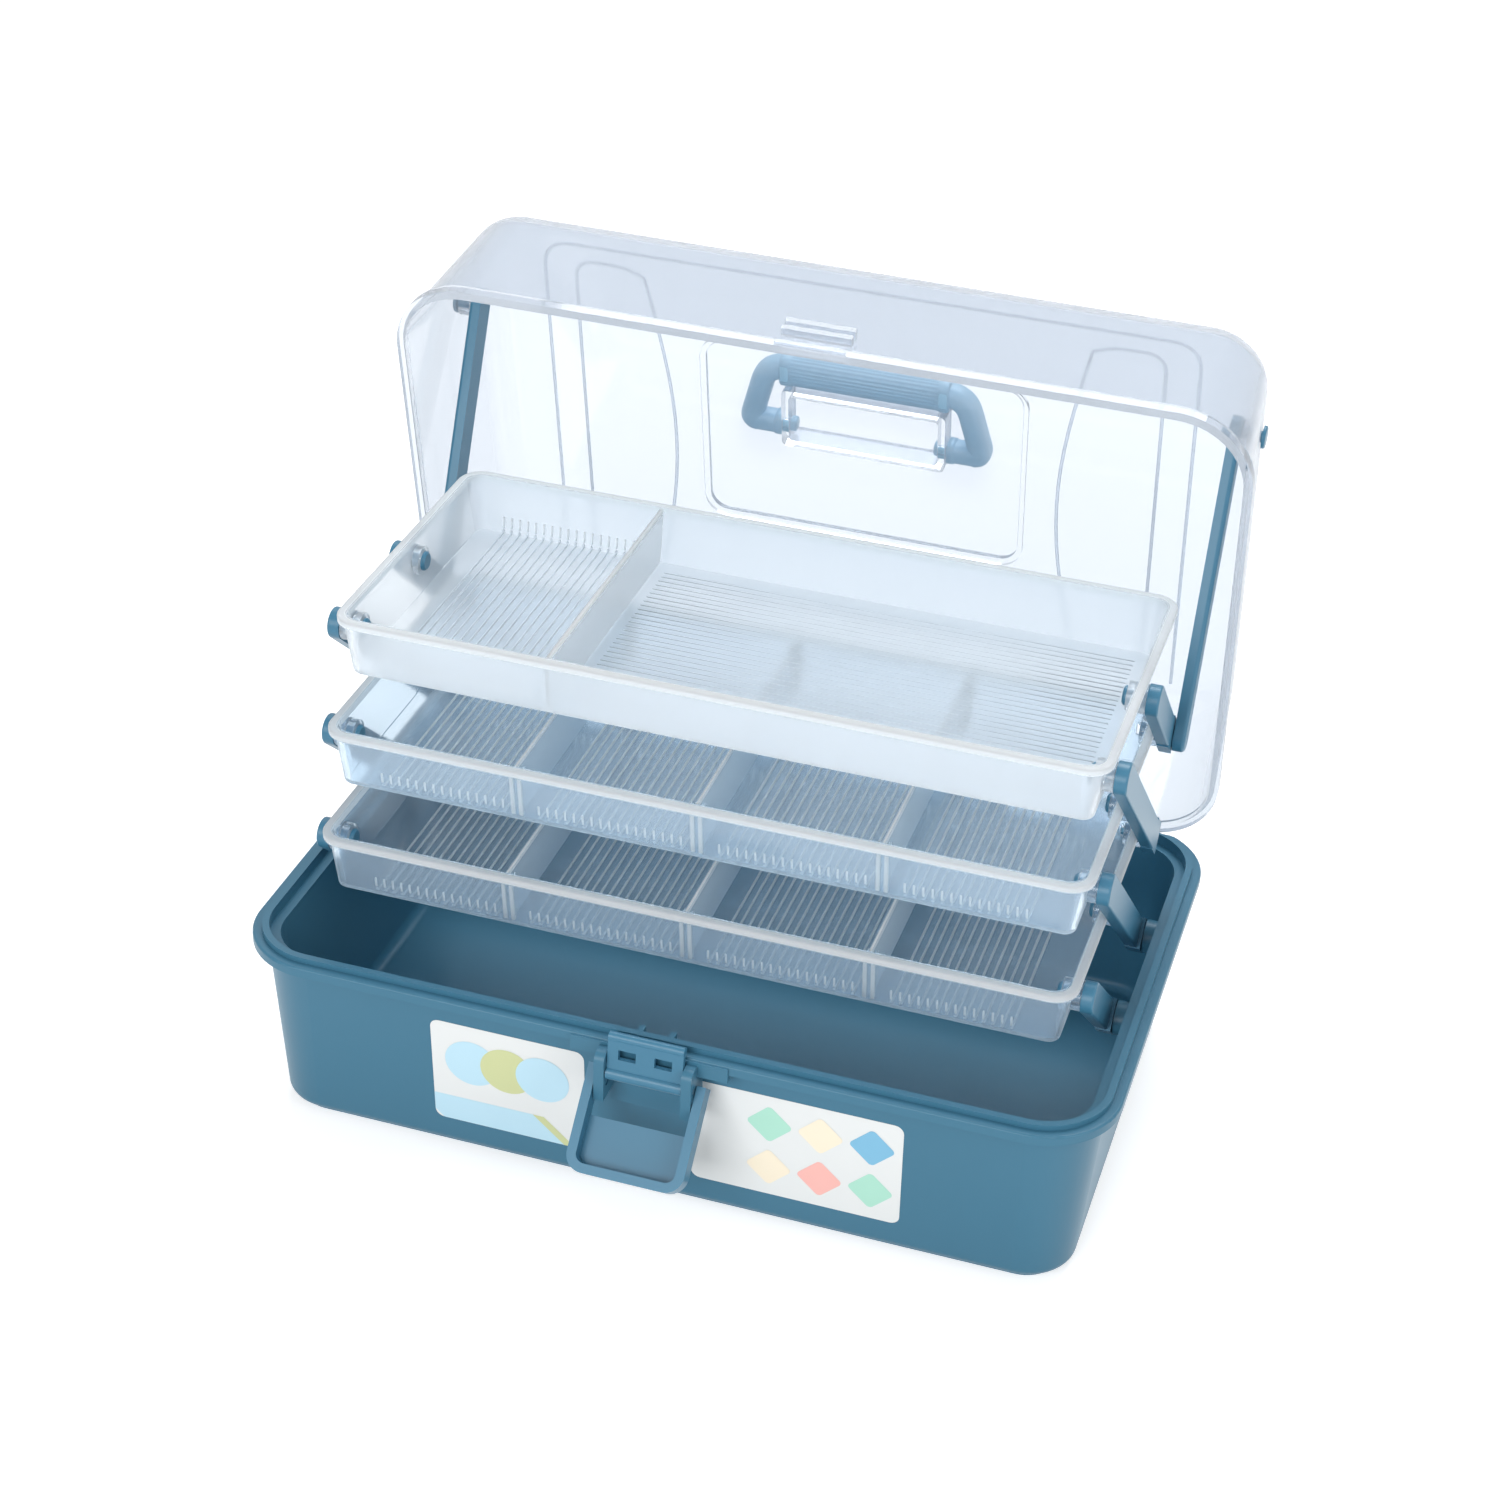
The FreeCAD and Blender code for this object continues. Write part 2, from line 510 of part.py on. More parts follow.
roots = new_sketch(bin_body, "lug_roots", "XY_Plane", "skirt_low")
for number, start in enumerate(lug_starts):
    rectangle(roots, "root_%d" % number,
              (plain(start), named("hinge_back", 1, -value("knuckle_radius"))),
              (plain(start + value("lug_width")), named("hinge_back", 1, value("knuckle_radius"))))
pad(bin_body, roots, "Sizes.hinge_level - Sizes.skirt_low")
barrel(bin_body, "lug", lug_starts, "Sizes.lug_width")
for station in (-1, 1):
    centre = station * value("hinge_station")
    bore = new_sketch(bin_body, "hinge_bore_%d" % (station + 1), "YZ_Plane")
    reach = half_knuckle + value("hinge_gap") + value("lug_width") + 1
    bore.AttachmentOffset = FreeCAD.Placement(V(0, 0, centre - reach), FreeCAD.Rotation())
    circle(bore, "bore", "hinge_bore_radius", named("hinge_back"), named("hinge_level"))
    pad(bin_body, bore, "Sizes.knuckle_width + 2 * Sizes.lug_width + 4", True, cut=True)

# Lid, drawn closed about the hinge line and turned open by its placement
lid_body = new_body("lid_shell")
lid_low = new_sketch(lid_body, "rim", "XY_Plane", "lid_floor_level")
rounded(lid_low, "rim", "lid_low_length", "lid_low_depth", "lid_low_corner", "lid_centre")
cover = tapered(lid_body, lid_low, "Derived.lid_roof - Derived.lid_floor_level",
                "Derived.lid_angle", False)
fillet(lid_body, cover, lambda p: near(p.z, value("lid_roof")), "Sizes.lid_edge_radius")
flange = new_sketch(lid_body, "flange", "XY_Plane", "lid_floor_level")
rounded(flange, "flange", "rim_length", "rim_depth", "rim_radius", "lid_centre")
pad(lid_body, flange, "Sizes.flange_height")
lid_hollow = new_body("lid_hollow")
mouth = new_sketch(lid_hollow, "mouth", "XY_Plane", "lid_floor_level")
rounded(mouth, "mouth", "lid_inner_length", "lid_inner_depth", "lid_inner_corner", "lid_centre")
inside = tapered(lid_hollow, mouth, "Derived.lid_ceiling - Derived.lid_floor_level",
                 "Derived.lid_angle", False)
fillet(lid_hollow, inside, lambda p: near(p.z, value("lid_ceiling")),
       "Sizes.lid_edge_radius - Sizes.lid_wall")
take_out(lid_body, lid_hollow)

# Well in the roof for the handle: its floor and walls are added inside, then it is cut from above
document.recompute()
case = new_sketch(lid_body, "well_case", "XY_Plane", "well_underside")
rounded(case, "case", "well_case_length", "well_case_depth", "well_case_radius", "well_centre")
pad(lid_body, case, "Sizes.well_depth + Sizes.lid_wall / 2")
well = new_sketch(lid_body, "well", "XY_Plane", "lid_roof")
rounded(well, "well", "well_length", "well_depth_along", "well_radius", "well_centre")
pad(lid_body, well, "Sizes.well_depth", cut=True)
hub = new_sketch(lid_body, "hub", "XY_Plane", "well_floor")
rounded(hub, "hub", "hub_length", "hub_depth", "hub_corner", "hub_centre")
pad(lid_body, hub, "Sizes.hub_height")
hub_pocket = new_sketch(lid_body, "hub_pocket", "XY_Plane", "hub_top")
rounded(hub_pocket, "pocket", "hub_pocket_length", "hub_pocket_depth", "hub_pocket_corner",
        "hub_centre")
pad(lid_body, hub_pocket, "Sizes.hub_height", cut=True)
hub_bore = new_sketch(lid_body, "hub_bore", "YZ_Plane")
hub_bore.setExpression("AttachmentOffset.Base.z", "-Sizes.hub_half - 1")
circle(hub_bore, "bore", "handle_bore_radius", named("handle_line"), named("handle_level"))
pad(lid_body, hub_bore, "2 * Sizes.hub_half + 2", True, cut=True)

# Catch lip on the front of the lid with two steps above it
front = -value("hinge_back") - value("rim_depth") / 2
front_words = "-Derived.hinge_back - Sizes.rim_depth / 2"
catch = new_sketch(lid_body, "catch", "YZ_Plane")
catch.setExpression("AttachmentOffset.Base.z", "-Sizes.catch_half")
for tag, low, thick in (("lip", value("hinge_gap"), "catch_lip"),
                        ("step", value("catch_step_low"), "catch_step"),
                        ("upper", value("catch_step_low") + value("catch_pitch"), "catch_step")):
    rectangle(catch, tag,
              ((front - value("catch_reach"), front_words + " - Sizes.catch_reach"),
               named("lid_floor_level", 1, low)),
              ((front + value("catch_root"), front_words + " + Sizes.catch_root"),
               named("lid_floor_level", 1, low + value(thick))))
pad(lid_body, catch, "2 * Sizes.catch_half")

# Bosses for the struts on the lid's side walls
for side, label in ((1, "right"), (-1, "left")):
    boss = new_sketch(lid_body, "strut_boss_" + label, "YZ_Plane")
    boss.setExpression("AttachmentOffset.Base.z",
                       "%d * (Derived.strut_outer + Sizes.side_gap)" % side)
    circle(boss, "boss", "lid_boss_radius", named("strut_height", -1), named("strut_back"))
    pad(lid_body, boss, "6", side < 0)
    bore = new_sketch(lid_body, "strut_bore_" + label, "YZ_Plane")
    bore.setExpression("AttachmentOffset.Base.z", "%d * Derived.strut_outer" % side)
    circle(bore, "bore", "strut_bore_radius", named("strut_height", -1), named("strut_back"))
    pad(lid_body, bore, "16", side > 0, cut=True)

# Clearance in the lid's flange for the bin's lugs, then the lid's own knuckles
lug_gaps = new_sketch(lid_body, "lug_gaps", "XY_Plane", "lid_floor_level")
for number, start in enumerate(lug_starts):
    rectangle(lug_gaps, "gap_%d" % number,
              (plain(start - value("hinge_gap")), plain(-value("knuckle_radius") - 0.5)),
              (plain(start + value("lug_width") + value("hinge_gap")),
               plain(value("knuckle_radius") + 1)))
pad(lid_body, lug_gaps, "Sizes.flange_height + 3", True, cut=True)
knuckle_starts = [station * value("hinge_station") - half_knuckle for station in (-1, 1)]
barrel(lid_body, "knuckle", knuckle_starts, "Sizes.knuckle_width")
for number, start in enumerate(knuckle_starts):
    bore = new_sketch(lid_body, "knuckle_bore_%d" % number, "YZ_Plane")
    bore.AttachmentOffset = FreeCAD.Placement(V(0, 0, start - 1), FreeCAD.Rotation())
    circle(bore, "bore", "hinge_bore_radius", plain(0.0), plain(0.0))
    pad(lid_body, bore, "Sizes.knuckle_width + 2", True, cut=True)

# Hinge pins
hinge_pins = []
for station, label in ((-1, "left"), (1, "right")):
    pin = new_body("hinge_pin_" + label)
    round_line = new_sketch(pin, "section", "YZ_Plane")
    reach = half_knuckle + value("hinge_gap") + value("lug_width")
    start = station * value("hinge_station") - reach
    round_line.AttachmentOffset = FreeCAD.Placement(V(0, 0, start), FreeCAD.Rotation())
    circle(round_line, "pin", "hinge_pin_radius", named("hinge_back"), named("hinge_level"))
    pad(pin, round_line, "Sizes.knuckle_width + 2 * Sizes.hinge_gap + 2 * Sizes.lug_width")
    hinge_pins.append(pin)


# Trays
def place(body, back, level, turn=0.0):
    # Placement at a point of the X = 0 plane with a turn about +X in degrees.
    body.Placement = FreeCAD.Placement(V(0, back, level), FreeCAD.Rotation(V(1, 0, 0), turn))


def tray(label, pin_offsets, dividers, walls, centre, level):
    body = new_body(label)
    low = new_sketch(body, "underside", "XY_Plane", "tray_underside")
    rounded(low, "underside", "tray_low_length", "tray_low_depth", "tray_low_corner")
    wall = tapered(body, low, "Derived.tray_rim_low - Derived.tray_underside", "Derived.tray_angle",
                   True)
    fillet(body, wall, lambda p: near(p.z, value("tray_underside")), "Sizes.tray_floor")
    rim = new_sketch(body, "rim", "XY_Plane", "tray_rim_low")
    rounded(rim, "rim", "tray_length", "tray_depth", "tray_radius")
    rim_pad = pad(body, rim, "Sizes.tray_rim_height")
    fillet(body, rim_pad, lambda p: near(p.z, value("tray_rim_above_pin")), "Sizes.tray_rim_lip")
    hollow = new_body(label + "_hollow")
    floor = new_sketch(hollow, "floor", "XY_Plane", "tray_floor_level")
    rounded(floor, "floor", "tray_floor_length", "tray_floor_depth", "tray_floor_corner")
    tapered(hollow, floor, "Sizes.tray_rim_above_pin - Derived.tray_floor_level",
            "Derived.tray_angle", True)
    ribs = new_sketch(hollow, "guides", "XY_Plane", "tray_floor_level")
    inner = value("tray_floor_depth") / 2 - value("guide_depth")
    inner_words = "Derived.tray_floor_depth / 2 - Sizes.guide_depth"
    for number, where in enumerate(dividers):
        for side in (-1, 1):
            near_edge = "%s %s Sizes.slot_width / 2" % (path(where), "+-"[side < 0])
            far_edge = "%s %s Sizes.guide_width" % (near_edge, "+-"[side < 0])
            near_x = value(where) + side * value("slot_width") / 2
            far_x = near_x + side * value("guide_width")
            left, right = sorted(((near_x, near_edge), (far_x, far_edge)))
            tag = "rib_%d_%s" % (number, "left" if side < 0 else "right")
            rectangle(ribs, tag + "_rear", (left, (inner, inner_words)),
                      (right, named("tray_depth", 0.5, 4)))
            rectangle(ribs, tag + "_front", (left, named("tray_depth", -0.5, -4)),
                      (right, (-inner, "-(" + inner_words + ")")))
    for number, where in enumerate(walls):
        half = value("cross_wall") / 2
        rectangle(ribs, "wall_%d" % number,
                  ((value(where) - half, path(where) + " - Sizes.cross_wall / 2"),
                   named("tray_depth", -0.5, -4)),
                  ((value(where) + half, path(where) + " + Sizes.cross_wall / 2"),
                   named("tray_depth", 0.5, 4)))
    pad(hollow, ribs, "Sizes.tray_rim_above_pin - Derived.tray_floor_level - Sizes.guide_low",
        True, cut=True)
    take_out(body, hollow)
    for side, word in ((1, "right"), (-1, "left")):
        bosses = new_sketch(body, "bosses_" + word, "YZ_Plane")
        bosses.setExpression("AttachmentOffset.Base.z", "%d * Derived.tray_boss_inner" % side)
        bores = new_sketch(body, "bores_" + word, "YZ_Plane")
        bores.setExpression("AttachmentOffset.Base.z", "%d * (Derived.tray_boss_inner - 2)" % side)
        for number, (back, words) in enumerate(pin_offsets):
            circle(bosses, "boss_%d" % number, "boss_radius", (back, words), plain(0.0))
            circle(bores, "bore_%d" % number, "arm_bore_radius", (back, words), plain(0.0))
        pad(body, bosses, "Derived.tray_boss_outer - Derived.tray_boss_inner", side < 0)
        pad(body, bores, "14", side > 0, cut=True)
    place(body, centre, level)
    return body


document.recompute()


def pin_row(offset, count):
    # Front, middle and rear pins of a tray side, as distances from the tray's middle.
    steps = (-1, 0, 1)[:count]
    words = "Sizes.%s + %d * Sizes.arm_spacing"
    return [(value(offset) + k * value("arm_spacing"), words % (offset, k)) for k in steps]


DIVIDERS = ("divider_first", "divider_second", "divider_third")
trays = {
    "tray_lower": tray("tray_lower", pin_row("tray_pin_offset", 3), DIVIDERS, (),
                       value("lower_centre"), value("tray_pin_level")),
    "tray_middle": tray("tray_middle", pin_row("tray_pin_offset", 3), DIVIDERS, (),
                        value("middle_centre"), value("middle_pin_level")),
    "tray_upper": tray("tray_upper", pin_row("top_tray_pin_offset", 2), (), ("top_divider",),
                       value("upper_centre"), value("upper_pin_level")),
}

# Cross dividers, each a thin plate with its sides following the tray's walls
finished = [bin_body, lid_body] + list(trays.values())
for name, pin_level in (("lower", "tray_pin_level"), ("middle", "middle_pin_level")):
    for number, where in enumerate(DIVIDERS):
        plate = new_body("divider_%s_%d" % (name, number + 1))
        outline = new_sketch(plate, "outline", "YZ_Plane")
        outline.setExpression("AttachmentOffset.Base.z",
                              path(where) + " - Sizes.divider_thick / 2")
        low = value("tray_floor_level")
        high = value("tray_rim_above_pin") - value("divider_drop")
        low_half = value("tray_floor_depth") / 2 - value("divider_gap")
        high_half = low_half + (high - low) * math.tan(math.radians(value("tray_angle")))
        corners = [(-low_half, low), (low_half, low), (high_half, high), (-high_half, high)]
        sides = [line(outline, corners[k], corners[(k + 1) % 4]) for k in range(4)]
        for k in range(4):
            outline.addConstraint(Constraint("Coincident", sides[k], 2, sides[(k + 1) % 4], 1))
        outline.addConstraint(Constraint("Horizontal", sides[2]))
        outline.addConstraint(Constraint("Symmetric", sides[0], 1, sides[0], 2, -2))
        outline.addConstraint(Constraint("Symmetric", sides[2], 1, sides[2], 2, -2))
        outline.delConstraint(4)
        bind(outline, Constraint("DistanceY", -1, 1, sides[0], 1, low), "low",
             "Derived.tray_floor_level")
        bind(outline, Constraint("DistanceY", -1, 1, sides[2], 1, high), "high",
             "Sizes.tray_rim_above_pin - Sizes.divider_drop")
        bind(outline, Constraint("DistanceX", sides[0], 1, sides[0], 2, 2 * low_half), "foot",
             "Derived.tray_floor_depth - 2 * Sizes.divider_gap")
        bind(outline, Constraint("DistanceX", sides[2], 2, sides[2], 1, 2 * high_half), "head",
             "Derived.tray_floor_depth - 2 * Sizes.divider_gap + 2 * (Sizes.tray_rim_above_pin"
             " - Sizes.divider_drop - Derived.tray_floor_level) * tan(Derived.tray_angle * 1deg)")
        pad(plate, outline, "Sizes.divider_thick")
        place(plate, value(name + "_centre"), value(pin_level))
        finished.append(plate)


# Links
def slot(sketch, tag, radius, low, high):
    # Upright slot outline: two sides joined by half circles, from one centre to the other.
    (r, r_words), (z0, z0_words), (z1, z1_words) = radius, low, high
    right = line(sketch, (r, z0), (r, z1))
    left = line(sketch, (-r, z1), (-r, z0))
    top = sketch.addGeometry(Part.ArcOfCircle(Part.Circle(V(0, z1, 0), V(0, 0, 1), r), 0, math.pi), False)
    foot = sketch.addGeometry(Part.ArcOfCircle(Part.Circle(V(0, z0, 0), V(0, 0, 1), r),
                                               math.pi, 2 * math.pi), False)
    for a, b in ((right, top), (top, left), (left, foot), (foot, right)):
        sketch.addConstraint(Constraint("Tangent", a, 2, b, 1))
    sketch.addConstraint(Constraint("PointOnObject", top, 3, -2))
    sketch.addConstraint(Constraint("PointOnObject", foot, 3, -2))
    bind(sketch, Constraint("Radius", top, r), tag + "_radius", r_words)
    bind(sketch, Constraint("DistanceY", -1, 1, foot, 3, z0), tag + "_foot", z0_words)
    bind(sketch, Constraint("DistanceY", -1, 1, top, 3, z1), tag + "_top", z1_words)


def side_sketch(body, name, side, depth):
    # Sketch on the plane at a distance given in words from the middle plane, on one side.
    sketch = new_sketch(body, name, "YZ_Plane")
    sketch.setExpression("AttachmentOffset.Base.z", "%d * (%s)" % (side, depth))
    return sketch


def link(label, side, spans, foot_on_bin, pivot):
    # Channel-section bar with a solid head at each pin; drawn upright from its lower pivot.
    body = new_body(label)
    outline = side_sketch(body, "outline", side, "Derived.link_inner")
    slot(outline, "bar", named("link_width", 0.5), plain(0.0), named("link_length", float(spans)))
    bar = pad(body, outline, "Sizes.link_thick", side < 0)
    outer = side * value("link_outer")
    fillet(body, bar, lambda p: near(p.x, outer), "Sizes.link_rim / 2")
    for span in range(spans):
        recess = side_sketch(body, "recess_%d" % span, side, "Derived.link_outer")
        half = "Sizes.link_width / 2 - Sizes.link_rim"
        low = span * value("link_length") + value("recess_end")
        high = (span + 1) * value("link_length") - value("recess_end")
        wide = value("link_width") / 2 - value("link_rim")
        rectangle(recess, "recess",
                  ((-wide, "-(" + half + ")"),
                   (low, "%d * Sizes.link_length + Sizes.recess_end" % span)),
                  ((wide, half), (high, "%d * Sizes.link_length - Sizes.recess_end" % (span + 1))))
        pad(body, recess, "Sizes.link_recess", side > 0, cut=True)
    block = side_sketch(body, "foot_block", side, "Derived.link_inner")
    half = named("link_block_half")
    minus = named("link_block_half", -1)
    rectangle(block, "block", (minus, minus), (half, half))
    thick = "Sizes.link_thick + Sizes.foot_block" if foot_on_bin else "Sizes.link_thick"
    pad(body, block, thick, side < 0)
    inward = [(k, "%d * Sizes.link_length" % k) for k in range(1 if foot_on_bin else 0, spans + 1)]
    pins = side_sketch(body, "pins", side, "Derived.link_inner + 1")
    buttons = side_sketch(body, "buttons", side, "Derived.tray_boss_inner - Sizes.side_gap")
    for k, words in inward:
        circle(pins, "pin_%d" % k, "arm_pin_radius", plain(0.0), (k * value("link_length"), words))
        if k:
            circle(buttons, "button_%d" % k, "button_radius", plain(0.0),
                   (k * value("link_length"), words))
    pad(body, pins, "Derived.link_inner + 1 - Derived.tray_boss_inner + Sizes.side_gap", side > 0)
    button_pad = pad(body, buttons, "Sizes.button_thick", side > 0)
    tip = side * (value("tray_boss_inner") - value("side_gap") - value("button_thick"))
    chamfer(body, button_pad, lambda p: near(p.x, tip), "Sizes.button_edge")
    if foot_on_bin:
        stub = side_sketch(body, "stub", side, "Derived.block_outer - 1")
        circle(stub, "stub", "arm_pin_radius", plain(0.0), plain(0.0))
        pad(body, stub, "Sizes.side_gap + Sizes.bin_pin_reach + 1", side < 0)
    place(body, pivot[0], pivot[1], 90 - value("link_angle"))
    return body


rear_pivot = (value("base_pivot_back"), value("base_pivot_level"))
front_pivot = (rear_pivot[0] - value("arm_spacing"), rear_pivot[1])
first_rear = (value("first_pin_back") + value("arm_spacing"), value("tray_pin_level"))
second_rear = (value("middle_pin_back") + value("arm_spacing"), value("middle_pin_level"))
for side, word in ((1, "right"), (-1, "left")):
    finished.append(link("link_front_" + word, side, 1, True, front_pivot))
    finished.append(link("link_lower_" + word, side, 2, True, rear_pivot))
    finished.append(link("link_upper_" + word, side, 2, False, first_rear))
    finished.append(link("link_rear_" + word, side, 1, False, second_rear))

# Struts from the lid's side walls down to the rear links
strut_top = V(0, value("strut_top_back"), value("strut_top_level"))
reach = V(0, value("strut_foot_back"), value("strut_foot_level")) - strut_top
strut_turn = math.degrees(math.atan2(reach.y, -reach.z))
document.recompute()
for side, word in ((1, "right"), (-1, "left")):
    strut = new_body("strut_" + word)
    outline = side_sketch(strut, "outline", side, "Derived.strut_inner")
    slot(outline, "bar", named("strut_width", 0.5), (-value("strut_length"), "-Derived.strut_length"),
         plain(0.0))
    bar = pad(strut, outline, "Sizes.strut_thick", side < 0)
    outer = side * value("strut_outer")
    fillet(strut, bar, lambda p: near(p.x, outer), "Sizes.strut_thick / 3")
    foot = side_sketch(strut, "washer", side, "Derived.link_outer")
    circle(foot, "washer", "strut_head_radius", plain(0.0),
           (-value("strut_length"), "-Derived.strut_length"))
    pad(strut, foot, "Derived.strut_inner - Derived.link_outer + 1", side < 0)
    pin = side_sketch(strut, "pin", side, "Derived.strut_outer - 1")
    circle(pin, "pin", "strut_pin_radius", plain(0.0), plain(0.0))
    pad(strut, pin, "Derived.strut_wall - Derived.strut_outer + 2", side < 0)
    head = side_sketch(strut, "head", side, "Derived.strut_wall + 0.8")
    circle(head, "head", "strut_head_radius", plain(0.0), plain(0.0))
    head_pad = pad(strut, head, "Sizes.strut_head_thick", side < 0)
    tip = side * (value("strut_wall") + 0.8 + value("strut_head_thick"))
    fillet(strut, head_pad, lambda p: near(p.x, tip), "Sizes.strut_head_thick / 2")
    place(strut, strut_top.y, strut_top.z, strut_turn)
    finished.append(strut)

# Handle, drawn folded on the closed lid with its pivot line as origin
handle = new_body("handle")
document.recompute()
handle_low = new_sketch(handle, "outline", "XY_Plane")
handle_low.setExpression("AttachmentOffset.Base.z", "-Sizes.handle_bar / 2")
rounded(handle_low, "outer", "handle_outer_length", "handle_outer_depth", "handle_radius",
        "handle_centre")
rounded(handle_low, "inner", "handle_inner_length", "handle_inner_depth", "handle_inner_radius",
        "handle_inner_centre")
ring = pad(handle, handle_low, "Sizes.handle_bar")
fillet(handle, ring, lambda p: near(abs(p.z), value("handle_bar") / 2), "Sizes.handle_edge")
gap = new_sketch(handle, "hub_gap", "XY_Plane")
gap.setExpression("AttachmentOffset.Base.z", "-Sizes.handle_bar / 2 - 1")
rectangle(gap, "gap", (named("hub_half", -1, -0.4), named("handle_bar", -1.02)),
          (named("hub_half", 1, 0.4), named("handle_bar", 1)))
pad(handle, gap, "Sizes.handle_bar + 2", True, cut=True)
for side, word in ((1, "right"), (-1, "left")):
    pivot = side_sketch(handle, "pivot_" + word, side,
                        "Sizes.hub_half - Sizes.hub_wall - Sizes.handle_pin_bite")
    circle(pivot, "pivot", "handle_pin_radius", plain(0.0), plain(0.0))
    pad(handle, pivot, "Sizes.hub_wall + 2 * Sizes.handle_pin_bite", side < 0)
lean = math.radians(value("lid_open"))
pivot_place = V(0, value("hinge_back"), value("hinge_level"))
pivot_place += V(0, -math.cos(lean), math.sin(lean)) * value("handle_pivot")
pivot_place += V(0, math.sin(lean), math.cos(lean)) * value("handle_level")
place(handle, pivot_place.y, pivot_place.z, -value("lid_open"))
finished.append(handle)

# Latch bracket moulded on the bin's front: two ears and a back plate
for side, word in ((1, "right"), (-1, "left")):
    ear = side_sketch(bin_body, "ear_" + word, side, "Sizes.bracket_half")
    rectangle(ear, "ear", (named("ear_front", -1), named("ear_low")),
              (named("bracket_root", -1), named("ear_top")))
    ear_pad = pad(bin_body, ear, "Sizes.ear_thick", side < 0)
    fillet(bin_body, ear_pad, lambda p: near(p.y, -value("ear_front")) and p.z > value("ear_top") - 0.1,
           "Sizes.ear_thick")
plate = new_sketch(bin_body, "latch_plate", "XY_Plane", "back_plate_low")
rectangle(plate, "plate", (named("bracket_half", -1, -1), named("back_plate_face", -1)),
          (named("bracket_half", 1, 1), named("bracket_root", -1)))
pad(bin_body, plate, "Sizes.latch_pin_level - Sizes.back_plate_low")
steel_bore = new_sketch(bin_body, "latch_bore", "YZ_Plane")
steel_bore.setExpression("AttachmentOffset.Base.z", "-Sizes.bracket_half - Sizes.ear_thick - 2")
circle(steel_bore, "pin", "latch_bore_radius", named("latch_pin_front", -1), named("latch_pin_level"))
pad(bin_body, steel_bore, "2 * Sizes.bracket_half + 2 * Sizes.ear_thick + 4", True, cut=True)
lever_bore = new_sketch(bin_body, "lever_bore", "YZ_Plane")
lever_bore.setExpression("AttachmentOffset.Base.z", "-Sizes.bracket_half - Sizes.ear_thick - 2")
circle(lever_bore, "pin", "lever_bore_radius", named("lever_pivot_front", -1),
       named("lever_pivot_level"))
pad(bin_body, lever_bore, "2 * Sizes.bracket_half + 2 * Sizes.ear_thick + 4", True, cut=True)

# Steel pin of the clasp
latch_pin = new_body("latch_pin")
section = new_sketch(latch_pin, "section", "YZ_Plane")
section.setExpression("AttachmentOffset.Base.z", "-Sizes.bracket_half - Sizes.ear_thick")
circle(section, "pin", "latch_pin_radius", plain(0.0), plain(0.0))
pad(latch_pin, section, "2 * Sizes.bracket_half + 2 * Sizes.ear_thick")
place(latch_pin, -value("latch_pin_front"), value("latch_pin_level"))
finished.append(latch_pin)

# Clasp: plate with two windows, a rolled top edge and a knuckle on the steel pin
clasp = new_body("latch_clasp")
profile = new_sketch(clasp, "plate", "YZ_Plane")
profile.setExpression("AttachmentOffset.Base.z", "-Sizes.clasp_half")
rectangle(profile, "plate", (named("clasp_thick", -0.5), plain(1.0)),
          (named("clasp_thick", 0.5), named("clasp_height")))
pad(clasp, profile, "2 * Sizes.clasp_half")
for tag, radius, level in (("knuckle", "clasp_knuckle", plain(0.0)),
                           ("roll", "clasp_roll", named("clasp_height"))):
    ring = new_sketch(clasp, tag, "YZ_Plane")
    ring.setExpression("AttachmentOffset.Base.z", "-Sizes.clasp_half")
    circle(ring, tag, radius, plain(0.0) if tag == "knuckle" else plain(0.6), level)
    pad(clasp, ring, "2 * Sizes.clasp_half")
windows = new_sketch(clasp, "windows", "XZ_Plane")
windows.AttachmentOffset = FreeCAD.Placement(V(0, 0, -6), FreeCAD.Rotation())
for tag, middle in (("left", -value("window_place")), ("right", value("window_place"))):
    half = value("window_width") / 2
    rectangle(windows, tag, (plain(middle - half), named("clasp_height", 0.5, -value("overrun"))),
              (plain(middle + half),
               named("window_height", 1, value("clasp_height") / 2 - value("overrun"))))
pad(clasp, windows, "12", True, cut=True)
bore = new_sketch(clasp, "bore", "YZ_Plane")
bore.setExpression("AttachmentOffset.Base.z", "-Sizes.clasp_half - 1")
circle(bore, "bore", "latch_bore_radius", plain(0.0), plain(0.0))
pad(clasp, bore, "2 * Sizes.clasp_half + 2", True, cut=True)
place(clasp, -value("latch_pin_front"), value("latch_pin_level"), -value("clasp_lean"))
finished.append(clasp)

# Lever: U-shaped frame with a recessed panel, its sides on pins in the ears
def fixed_loop(sketch, points):
    # Closed outline of straight sides at worked-out points, fixed where they are.
    count = len(points)
    sides = [line(sketch, points[k], points[(k + 1) % count]) for k in range(count)]
    for k in range(count):
        sketch.addConstraint(Constraint("Coincident", sides[k], 2, sides[(k + 1) % count], 1))
        sketch.addConstraint(Constraint("Block", sides[k]))


lever = new_body("latch_lever")
half = value("lever_half")
corner = value("lever_radius")
top = value("lever_head")
low = -value("lever_length")
thin = value("lever_side")
outline = new_sketch(lever, "outline", "XZ_Plane")
fixed_loop(outline, [(-half, top), (-half, low), (half, low), (half, top), (half - thin, top),
                     (half - thin, low + thin), (-half + thin, low + thin), (-half + thin, top)])
frame = pad(lever, outline, "Sizes.lever_depth")
frame = fillet(lever, frame, lambda p: near(abs(p.x), half) and near(p.z, low), "Sizes.lever_radius")
fillet(lever, frame, lambda p: near(abs(p.x), half - thin) and near(p.z, low + thin),
       "Sizes.lever_radius - Sizes.lever_side")
panel = new_sketch(lever, "panel", "XZ_Plane")
shelf = low + value("lever_panel_height")
fixed_loop(panel, [(-half + thin - 1, shelf), (-half + thin - 1, low + corner),
                   (-half + corner, low + thin - 1), (half - corner, low + thin - 1),
                   (half - thin + 1, low + corner), (half - thin + 1, shelf)])
